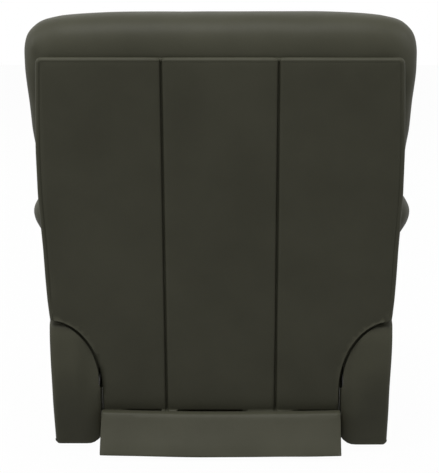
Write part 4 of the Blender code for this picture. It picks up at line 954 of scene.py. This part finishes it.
def heel_bulge(y, z, inward):
    """How far the padding under the back panel's corner stands behind the arm's plain rear face."""
    plain = np.array([arm_rear(float(height)) for height in z])
    wanted = HEEL_BULGE_Y - 0.004 * step_up(z, 0.285, CORNER_TOP_Z)
    over = 1 - step_up(z, CORNER_TOP_Z - 0.012, CORNER_TOP_Z - 0.002)
    fade = step_up(z, 0.050, 0.240) * over
    past = 1 - 0.25 * step_up(inward, 0.095, 0.120)
    outer = step_up(inward, 0.020, 0.060) * past
    return np.maximum(wanted - plain, 0) * fade * outer * step_up(y, 0.25, 0.29)


def panel_corner_cutter(side):
    """The space that the back panel's corner needs at the arm's rear."""
    curve = corner_curve(40)
    moved = []
    for index, point in enumerate(curve):
        here = Vector(curve[max(index - 1, 0)])
        there = Vector(curve[min(index + 1, len(curve) - 1)])
        along = (there - here).normalized()
        moved.append((point[0] + ARM_GAP * along.y, point[1] - ARM_GAP * along.x))
    beyond = 0.03
    foot = (moved[0][0], REBATE_FOOT_Z)
    outline = [(ARM_LOW.x - beyond, foot[1]), foot] + moved + [(ARM_HIGH.x + beyond, moved[-1][1])]
    outline += [(ARM_HIGH.x + beyond, CORNER_TOP_Z + beyond), (ARM_LOW.x - beyond, CORNER_TOP_Z + beyond)]
    near = [(side * x, leaned(REBATE_DEPTH_Y, z), z) for x, z in outline]
    far = [(side * x, leaned(REBATE_DEPTH_Y + 0.2, z), z) for x, z in outline]
    return drum("rebate", near, far)


def arm_cover(name, side):
    width = ARM_HIGH.x - ARM_LOW.x
    inner_round = 0.034
    outer_round = 0.014
    tuck = 0.012
    tuck_reach = 0.045

    def place(y, z, height):
        rear = float(step_up(y, 0.08, 0.26))
        foot = float(1 - step_up(z, ARM_LOW.z, 0.300)) * rear
        heel = float(step_up(z, 0.14, 0.32)) * rear
        share = height / width
        x = ARM_LOW.x + height + (ARM_SPREAD * heel - ARM_TAPER * foot) * share ** 2
        return (side * x, y, z)

    def crown(face, y, z, depth):
        if face < 0:
            return 0.0
        return ARM_CROWN * min(1, depth / 0.09)

    stations = edge_stations((ARM_INNER_EDGE, ARM_EDGE), 0, width - ARM_CROWN, 6)
    columns = lines(ARM_LOW.y, ARM_HEEL_Y, PANEL_SPACING)
    rows = lines(ARM_LOW.z, ARM_HIGH.z, PANEL_SPACING)
    mesh = padded_panel(name, arm_outline(), stations, columns, rows, crown, place)
    points = points_of(mesh)
    x, y, z = points.T
    inward = side * x - ARM_LOW.x
    rear = step_up(y, 0.18, 0.28)
    low = 1 - np.clip((z - ARM_LOW.z) / inner_round, 0, 1)
    near = 1 - np.clip(inward / inner_round, 0, 1)
    lift = inner_round * (1 - np.sqrt(np.maximum(1 - near ** 2, 0))) * low * rear
    z += lift
    lowest = 1 - step_up(z, ARM_LOW.z, ARM_LOW.z + 0.10)
    z -= ARM_REAR_DROP * lowest * step_up(y, 0.05, 0.28)
    corner = 1 - np.clip((width - inward) / outer_round, 0, 1)
    low = 1 - np.clip((z - ARM_LOW.z + ARM_REAR_DROP) / outer_round, 0, 1)
    z += outer_round * (1 - np.sqrt(1 - corner ** 2)) * low * rear
    under = ARM_UNDERCUT * (1 - np.clip((z - ARM_LOW.z) / 0.20, 0, 1)) ** 1.8
    inside = tuck * (1 - np.clip(inward / tuck_reach, 0, 1)) ** 2
    inside *= 1 - step_up(z, 0.10, 0.17)
    y -= (under + inside) * step_up(y, 0.22, 0.29)
    y += heel_bulge(y, z, inward)
    move_points(mesh, points)
    ripple(mesh, 0.0012, 0.11, 13 + side)
    cutters = [panel_corner_cutter(side), hinge_cutter(side)]
    if name == "right":
        cutters.append(button_cutter())
    mesh = without(mesh, cutters)
    mesh.shade_smooth()
    mesh.set_sharp_from_angle(angle=math.radians(38))
    return mesh


def welt(mesh, path):
    """A cord of piping half sunk in a surface, along a path close to it."""
    corners = [vert.co for vert in mesh.vertices]
    surface = BVHTree.FromPolygons(corners, [tuple(face.vertices) for face in mesh.polygons])
    snapped = []
    for point in path:
        place, normal, _, _ = surface.find_nearest(Vector(point))
        snapped.append(place + normal * WELT_RADIUS * WELT_PROUD_SHARE)
    return tube_mesh("welt", snapped, WELT_RADIUS, 10)


def arm_welts(mesh, side):
    """Piping down the two front edges of an arm."""
    edge = 0.0035
    heights = np.linspace(ARM_LOW.z + 0.004, ARM_HIGH.z - 0.010, 60)
    cords = []
    for x in (ARM_LOW.x + edge, ARM_HIGH.x - ARM_CROWN - edge):
        path = [(side * x, ARM_LOW.y + edge, z) for z in heights]
        cords.append(welt(mesh, path))
    return joined("arm_welts", cords)


def hinge_cutter(side):
    """Room in the arm's inner face for the back's corner as it swings."""
    sides = 32
    outline = arc((HINGE_Y, HINGE_Z), POCKET_RADIUS, 0, 2 * math.pi * (sides - 1) / sides, sides - 1)
    return prism(outline, side * (ARM_LOW.x - 0.02), side * (ARM_LOW.x + POCKET_DEPTH))


def button_cutter():
    """The hollow behind the buttons."""
    margin = 0.0115
    low_y = BEZEL_LOW.y + margin
    high_y = BEZEL_HIGH.y - margin
    low_z = BEZEL_LOW.z + margin / 2
    high_z = BEZEL_HIGH.z - margin / 2
    outline = [(low_y, low_z), (high_y, low_z), (high_y, high_z), (low_y, high_z)]
    return prism(rounded(outline, 0.006), -ARM_HIGH.x - 0.02, -ARM_HIGH.x + 0.0125)


def arm_pad():
    """The left arm's cushion."""
    seat = PAD_LOW.z
    top = PAD_HIGH.z - 0.004
    outer = ARM_HIGH.x - 0.02
    tuck = 0.048
    seam_y = PAD_LOW.y + 0.105

    def shape_point(point, unit):
        point.z = max(point.z, seat)
        rise = (point.z - seat) / (top - seat)
        if point.x > outer:
            point.x -= tuck * (1 - rise) ** 1.6 * min(1, (point.x - outer) / 0.04)
        return point

    low = (PAD_LOW.x + 0.002, PAD_LOW.y + 0.004, seat - (top - seat) / 4)
    high = (PAD_HIGH.x + 0.0170, PAD_HIGH.y - 0.002, top)
    mesh = cushion("arm_pad", low, high, FINE, 1, (2.6, 5), shape_point)
    _, y, z = points_of(mesh).T
    held = np.where(z < seat + 0.004, 1.0, 0.0)
    held = np.maximum(held, bell(y - seam_y, 0.008))
    limits = (np.inf, PAD_HIGH.y, PAD_HIGH.z + 0.004)
    mesh = swollen(mesh, held, 0.009, 0.02, (-np.inf, -np.inf, seat), limits)
    x, y, z = points_of(mesh).T
    seam = y - seam_y
    depth = 0.004 * bell(seam, 0.004) + 0.003 * bell(seam, 0.016)
    upper = step_up(z, seat + 0.004, seat + 0.02)
    push(mesh, -depth * upper)
    gathers(mesh, seam, x + z, 0.0022 * upper, seed=3)
    return mesh


def arms():
    pad = arm_pad()
    for name, side in SIDES.items():
        cover = arm_cover(name, side)
        add_piece("arm_piping_" + name, arm_welts(cover, side), "base")
        add_piece("arm_" + name, cover, "base", ["arm_cover_" + name])
        mesh = pad.copy()
        if side < 0:
            move_points(mesh, points_of(mesh) * (side, 1, 1))
            mesh.flip_normals()
        add_piece("arm_cushion_" + name, mesh, "base", ["arm_pad_" + name])


# Head pillow and lumbar cushion

PILLOW_TOP_Z = PILLOW_HIGH.z
PILLOW_BOTTOM_Z = PILLOW_LOW.z
PILLOW_HALF = 0.4416
PILLOW_FRONT_Y = 0.040
PILLOW_REAR_Y = 0.2864
PILLOW_ROLL_Z = 0.923
PILLOW_SLOT_Y = 0.3040
PILLOW_ROLL_Y = 0.3088
PILLOW_POWER = 3.3
PILLOW_CHANNEL_Z = 0.850
# The line of the pillow's top: level between two places, then falling to its corners
PILLOW_TOP_LEVEL = 0.20
PILLOW_TOP_REACH = 0.378
PILLOW_TOP_FALL = 0.009
PILLOW_TOP_RAISE = -0.0006
PILLOW_TOP_TILT = -0.0010
CORNER_FOLD_X = 0.414
CORNER_FOLD_Z = 0.986
CORNER_FOLD_HEIGHT = 0.004
ARCH_HALF = 0.278
ARCH_SEAM = 0.290
ARCH_Z = 0.744
ARCH_SLOPE = 0.050
# Half width of the pillow's outline from behind at each height, as shares of its greatest
PILLOW_HEIGHT_SHARES = (
    0.0, 0.125, 0.236, 0.327, 0.502, 0.674, 0.787, 0.843,
    0.888, 0.910, 0.932, 0.955, 0.966, 0.977, 0.988, 1.0,
)
PILLOW_WIDTH_SHARES = (
    0.945, 0.955, 0.963, 0.973, 0.982, 0.997, 1.0, 0.995,
    0.979, 0.964, 0.944, 0.915, 0.896, 0.865, 0.790, 0.55,
)


def pillow_rear(x, z):
    """How far back the pillow may reach: to its board, behind the panel's edge, then over it."""
    beside = step_up(np.abs(x), PANEL_TOP_HALF - 0.018, PANEL_TOP_HALF)
    slot = (PILLOW_SLOT_Y - PILLOW_REAR_Y) * step_up(z, PILLOW_ROLL_Z - 0.002, PILLOW_ROLL_Z + 0.005)
    middle_y = (PILLOW_FRONT_Y + PILLOW_ROLL_Y) / 2
    middle_z = (PILLOW_BOTTOM_Z + PILLOW_TOP_Z) / 2
    share = np.clip((np.asarray(z) - middle_z) / (PILLOW_TOP_Z - middle_z), 0, 1)
    round_y = middle_y + (PILLOW_ROLL_Y - middle_y) * (1 - share ** PILLOW_POWER) ** (1 / PILLOW_POWER)
    start = PANEL_TOP_Z - 0.014 * beside
    above = step_up(z, start, start + 0.005 + 0.018 * beside)
    return (PILLOW_REAR_Y + slot * (1 - beside)) * (1 - above) + (round_y + 0.002) * above


def pillow_floor(x):
    """The pillow arches over the lumbar cushion between two side bolsters."""
    share = np.clip((np.abs(x) - ARCH_HALF) / ARCH_SLOPE, 0, 1)
    return ARCH_Z + (PILLOW_BOTTOM_Z - ARCH_Z) * share


def head_pillow():
    def shape_point(point, unit):
        if unit[1] < 0:
            point.y += 0.012 * float(bell(point.z - PILLOW_CHANNEL_Z, 0.030))
        point.y = min(point.y, float(pillow_rear(point.x, point.z)))
        point.z = max(point.z, float(pillow_floor(point.x)))
        return point

    low = (-PILLOW_HALF + 0.004, PILLOW_FRONT_Y + 0.010, PILLOW_BOTTOM_Z)
    high = (PILLOW_HALF - 0.004, PILLOW_ROLL_Y, PILLOW_TOP_Z - 0.004)
    mesh = cushion("pillow", low, high, FINE, 0, (PILLOW_POWER, 6), shape_point)
    x, y, z = points_of(mesh).T
    behind = (y > PILLOW_REAR_Y - 0.004) & (z < PANEL_TOP_Z + 0.01)
    under = z < pillow_floor(x) + 0.003
    front = y < PILLOW_REAR_Y - 0.08
    held = held_at(behind | under, z - PILLOW_CHANNEL_Z, front)
    held = np.maximum(held, 0.75 * step_up(y, 0.20, 0.28))
    held = np.maximum(held, CHANNEL_HELD_SHARE * bell(np.abs(x) - ARCH_SEAM, 0.007) * front)
    inflate(mesh, held, reach=0.014, grow=0.015)
    points = points_of(mesh)
    x, y, z = points.T
    y[:] = np.minimum(y, pillow_rear(x, z))
    z[:] = np.maximum(z, pillow_floor(x))
    move_points(mesh, points)
    mesh = subdivided(mesh)
    relax(mesh, 4, 0.5 * step_up(points_of(mesh)[:, 2], PILLOW_TOP_Z - 0.060, PILLOW_TOP_Z - 0.020))
    x, y, z = points_of(mesh).T
    front = 1 - step_up(y, PILLOW_FRONT_Y + 0.09, PILLOW_REAR_Y - 0.04)
    front *= 1 - step_up(z, PILLOW_TOP_Z - 0.09, PILLOW_TOP_Z - 0.03)
    centre = front * (1 - step_up(np.abs(x), ARCH_SEAM - 0.008, ARCH_SEAM))
    seam = np.abs(x) - ARCH_SEAM
    line = z - PILLOW_CHANNEL_Z
    depths = [0.006 * bell(gap, 0.005) + 0.004 * bell(gap, 0.02) for gap in (seam, line)]
    push(mesh, -np.maximum(depths[0] * front, depths[1] * centre))
    gathers(mesh, line, x, 0.0022 * centre, seed=5)
    gathers(mesh, seam, z, 0.0022 * front, seed=6)
    fit_outline(mesh)
    ripple(mesh, 0.0010, 0.09, 21)
    level_top(mesh)
    x, y, z = points_of(mesh).T
    fold = bell(x - CORNER_FOLD_X, 0.009) * bell(z - CORNER_FOLD_Z, 0.024)
    fold *= CORNER_FOLD_HEIGHT
    push(mesh, fold * step_up(y, 0.20, 0.26))
    points = points_of(mesh)
    x, y, z = points.T
    y[:] = leaned(np.minimum(y, pillow_rear(x, z) + fold), z)
    move_points(mesh, points)
    add_piece("head_cushion", mesh, "backrest", ["head_pillow"])


def fit_outline(mesh):
    """Scale the pillow across so that its outline from behind has its measured widths."""
    points = points_of(mesh)
    x, _, z = points.T
    low = z.min()
    high = z.max()
    share = (z - low) / (high - low)
    bins = np.linspace(0, 1, 61)
    middles = (bins[1:] + bins[:-1]) / 2
    widest = np.zeros(len(middles))
    for index in range(len(middles)):
        inside = (share >= bins[index]) & (share <= bins[index + 1])
        widest[index] = np.abs(x[inside]).max() if inside.any() else 0
    wanted = np.interp(middles, PILLOW_HEIGHT_SHARES, PILLOW_WIDTH_SHARES) * PILLOW_HALF
    ratio = np.interp(share, middles, smoothed(wanted / np.maximum(widest, 0.1)))
    reach = np.abs(x) / np.maximum(np.interp(share, middles, widest), 0.1)
    x *= 1 + (ratio - 1) * step_up(reach, 0.35, 1.0)
    z += (PILLOW_TOP_Z - high) * step_up(share, 0.6, 1.0)
    move_points(mesh, points)
    relax(mesh, 3, 0.5 * step_up(np.abs(x), PANEL_TOP_HALF - 0.04, PANEL_TOP_HALF))


def level_top(mesh):
    """Bring the pillow's top to its measured line."""
    points = points_of(mesh)
    x, _, z = points.T
    places = np.linspace(-PILLOW_TOP_REACH, PILLOW_TOP_REACH, 43)
    tops = [z[np.abs(x - place) < 0.011].max() for place in places]
    outward = (np.abs(places) - PILLOW_TOP_LEVEL) / (PILLOW_TOP_REACH - PILLOW_TOP_LEVEL)
    wanted = PILLOW_TOP_Z - PILLOW_TOP_FALL * np.clip(outward, 0, 1) ** 2
    wanted += PILLOW_TOP_RAISE + PILLOW_TOP_TILT * places / PILLOW_TOP_REACH
    shift = np.interp(x, places, wanted - smoothed(np.array(tops)))
    z += shift * step_up(z, PILLOW_TOP_Z - 0.085, PILLOW_TOP_Z - 0.012)
    move_points(mesh, points)


def lumbar_cushion():
    half = LUMBAR_HIGH.x
    bottom = LUMBAR_LOW.z
    top = LUMBAR_HIGH.z
    front_y = 0.062
    depth = PILLOW_REAR_Y - front_y
    seam_z = bottom + (top - bottom) * 0.5

    def shape_point(point, unit):
        point.y = min(point.y, PILLOW_REAR_Y)
        return point

    low = (-half + 0.004, front_y + 0.012, bottom + 0.003)
    high = (half - 0.004, PILLOW_REAR_Y + depth / 4, top - 0.003)
    mesh = cushion("lumbar", low, high, FINE, 0, (3.2, 8), shape_point)
    _, y, z = points_of(mesh).T
    held = held_at(y > PILLOW_REAR_Y - 0.004, z - seam_z, y < PILLOW_REAR_Y - 0.06)
    mesh = swollen(mesh, held, 0.014, 0.015, (-half, -np.inf, bottom), (half, PILLOW_REAR_Y, top))
    _, y, z = points_of(mesh).T
    front = 1 - step_up(y, front_y + 0.08, PILLOW_REAR_Y - 0.04)
    sewn_channel(mesh, z - seam_z, front, depth=0.004, width=0.018, crease=0.0024, seed=8)
    points = points_of(mesh)
    _, y, z = points.T
    y[:] = leaned(y, z)
    move_points(mesh, points)
    add_piece("lumbar_pillow", mesh, "backrest", ["lumbar_cushion"])


# Seat and footrest

def seat_cushion():
    half = SEAT_HIGH.x
    seat = SEAT_LOW.z
    top = SEAT_HIGH.z - 0.008
    seam_y = -0.385

    def shape_point(point, unit):
        point.x *= 1 - 0.004 / half * (1 - unit[1] ** 2)
        point.z = max(point.z, seat)
        return point

    low = (-half + 0.002, SEAT_LOW.y + 0.006, seat - (top - seat) / 3)
    high = (half - 0.002, SEAT_HIGH.y - 0.002, top)
    mesh = cushion("seat", low, high, FINE, 2, (9, 3.2), shape_point)
    _, y, z = points_of(mesh).T
    held = held_at(z < seat + 0.003, y - seam_y, z > seat + 0.03)
    least = (-half, SEAT_LOW.y - 0.006, seat)
    mesh = swollen(mesh, held, 0.022, 0.012, least, (half, SEAT_HIGH.y, np.inf))
    _, y, z = points_of(mesh).T
    upper = step_up(z, seat + 0.025, seat + 0.05)
    sewn_channel(mesh, y - seam_y, upper, depth=0.005, width=0.02, crease=0.0024, seed=9)
    move_points(mesh, np.maximum(points_of(mesh), (-np.inf, -np.inf, seat)))
    add_piece("seat_pad", mesh, "base", ["seat_cushion"])


def footrest_pad():
    half = FOOT_PAD_HIGH.x
    rear = FOOT_PAD_HIGH.y
    middle = (FOOT_PAD_LOW.z + FOOT_PAD_HIGH.z) / 2
    front = FOOT_PAD_LOW.y + 0.010

    def shape_point(point, unit):
        point.y = min(point.y, rear)
        return point

    low = (-half + 0.003, front, FOOT_PAD_LOW.z + 0.002)
    high = (half - 0.003, rear + (rear - front) / 3, FOOT_PAD_HIGH.z - 0.002)
    mesh = cushion("foot_pad", low, high, FINE, 1, (9, 3.2), shape_point)
    _, y, z = points_of(mesh).T
    held = held_at(y > rear - 0.003, z - middle, y < rear - 0.02)
    least = (-half, FOOT_PAD_LOW.y - 0.004, -np.inf)
    mesh = swollen(mesh, held, 0.014, 0.012, least, (half, rear, np.inf))
    _, y, z = points_of(mesh).T
    facing = 1 - step_up(y, rear - 0.03, rear - 0.01)
    sewn_channel(mesh, z - middle, facing, depth=0.004, width=0.018, crease=0.0022, seed=10)
    add_piece("footrest_cushion", mesh, "footrest", ["footrest_pad"])


# Finishes of the carried-over pieces: the first whose words a node's name holds

FINISHES = (
    ("back_board", dust_cloth),
    ("footrest_board", dust_cloth),
    ("seat_deck", dust_cloth),
    ("arm_frame", plywood_flat),
    ("base_rail", hardwood),
    ("cross_rail", hardwood_cross),
    ("rear_board", hardwood_cross),
    ("control_bezel", black_plastic),
    ("power_inlet", black_plastic),
    ("glide", black_plastic),
    ("motor", black_plastic),
    ("button", button_plastic),
    ("screw", zinc),
    ("slider", zinc),
    ("", black_steel),
)


def dress_frame():
    for name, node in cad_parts.items():
        material = next(finish for words, finish in FINISHES if words in name)
        node.data.materials.clear()
        node.data.materials.append(material)


# Camera, light and floor

PHOTO_HEIGHT = 473
FOCAL_PIXELS = 1667
SENSOR = 36.0
VIEW_DISTANCE = 4.2
VIEW_ELEVATION = math.radians(9.0)
VIEW_TURN = math.radians(0.75)
VIEW_MIDDLE_X = 0.0070
VIEW_MIDDLE_Z = 0.53
VIEW_PIXELS_UP = 18.1
WHITE = (1, 1, 1, 1)
AMBIENT_STRENGTH = 0.22
FLOOR_REACH = 14.0
FLOOR_TONES = ((0.33, 0.33, 0.33), (0.36, 0.36, 0.36))
FLOOR_SHOWN_SHARE = 0.975


def camera():
    data = bpy.data.cameras.new("camera")
    data.sensor_width = SENSOR
    data.lens = FOCAL_PIXELS * SENSOR / PHOTO_HEIGHT
    view = linked("camera", data)
    flat = VIEW_DISTANCE * math.cos(VIEW_ELEVATION)
    height = VIEW_MIDDLE_Z + VIEW_DISTANCE * math.sin(VIEW_ELEVATION)
    view.location = (VIEW_MIDDLE_X - flat * math.sin(VIEW_TURN), flat * math.cos(VIEW_TURN), height)
    tilt = VIEW_ELEVATION + VIEW_PIXELS_UP / FOCAL_PIXELS
    view.rotation_euler = (math.pi / 2 - tilt, 0, math.pi + VIEW_TURN)
    bpy.context.scene.camera = view


def area_light(name, place, aim, width, height, power, glossy=True):
    data = bpy.data.lights.new(name, "AREA")
    data.shape = "RECTANGLE"
    data.size = width
    data.size_y = height
    data.energy = power
    lamp = linked(name, data)
    lamp.location = place
    lamp.rotation_euler = (Vector(aim) - Vector(place)).to_track_quat("-Z", "Y").to_euler()
    lamp.visible_glossy = glossy


def seen_rays(tree):
    """One for rays that show the background: from the camera, off gloss or through glass."""
    rays = tree.nodes.new("ShaderNodeLightPath").outputs
    inputs = {0: rays["Is Camera Ray"], 1: rays["Is Glossy Ray"]}
    first = add_node(tree, "Math", inputs, operation="MAXIMUM")
    inputs = {0: first.outputs["Value"], 1: rays["Is Transmission Ray"]}
    return add_node(tree, "Math", inputs, operation="MAXIMUM").outputs["Value"]


def studio():
    scene = bpy.context.scene
    scene.view_settings.view_transform = "Standard"
    world = bpy.data.worlds.new("studio")
    scene.world = world
    world.use_nodes = True
    tree = world.node_tree
    ambient = tree.nodes["Background"]
    feed(tree, ambient, {"Color": WHITE, "Strength": AMBIENT_STRENGTH})
    white = add_node(tree, "Background", {"Color": WHITE, "Strength": 1.0})
    inputs = {"Fac": seen_rays(tree), 1: ambient.outputs["Background"], 2: white.outputs["Background"]}
    mix = add_node(tree, "MixShader", inputs)
    feed(tree, tree.nodes["World Output"], {"Surface": mix.outputs["Shader"]})
    area_light("key", (1.4, 7.3, 11.6), (0, 0.2, 0.5), width=7.5, height=5.8, power=2450)
    area_light("side_left", (5.0, 1.2, 3.3), (0, 0.2, 0.6), width=3.0, height=3.0, power=215)
    area_light("side_right", (-5.0, 1.2, 3.6), (0, 0.2, 0.6), width=3.0, height=3.0, power=205)
    front = (1.6, -5.6, 4.6)
    area_light("front_fill", front, (0, 0, 0.5), width=4.2, height=3.2, power=350, glossy=False)


def floor():
    signs = ((-1, -1), (1, -1), (1, 1), (-1, 1))
    corners = [(x * FLOOR_REACH, y * FLOOR_REACH, 0) for x, y in signs]
    mesh = to_mesh("floor", corners, [(0, 1, 2, 3)])
    finish = Finish("floor")
    tree = finish.tree
    finish.colour(finish.noise(30.0, 2.0), FLOOR_TONES)
    finish.shade(Roughness=0.9, Specular_IOR_Level=0.0)
    glow = finish.add("Emission", {"Color": WHITE, "Strength": 1.0})
    shown = finish.add("Math", {0: seen_rays(tree), 1: FLOOR_SHOWN_SHARE}, operation="MULTIPLY")
    inputs = {"Fac": shown.outputs["Value"], 1: finish.shader.outputs["BSDF"], 2: glow.outputs["Emission"]}
    mix = finish.add("MixShader", inputs)
    feed(tree, tree.nodes["Material Output"], {"Surface": mix.outputs["Shader"]})
    ground = link_object("studio_floor", mesh, finish.material)
    ground.location.z = cad_box[0][2] - 0.0005


dress_frame()
outer_back_panel()
back_sides()
rear_valance()
arms()
head_pillow()
lumbar_cushion()
seat_cushion()
footrest_pad()
camera()
studio()
floor()
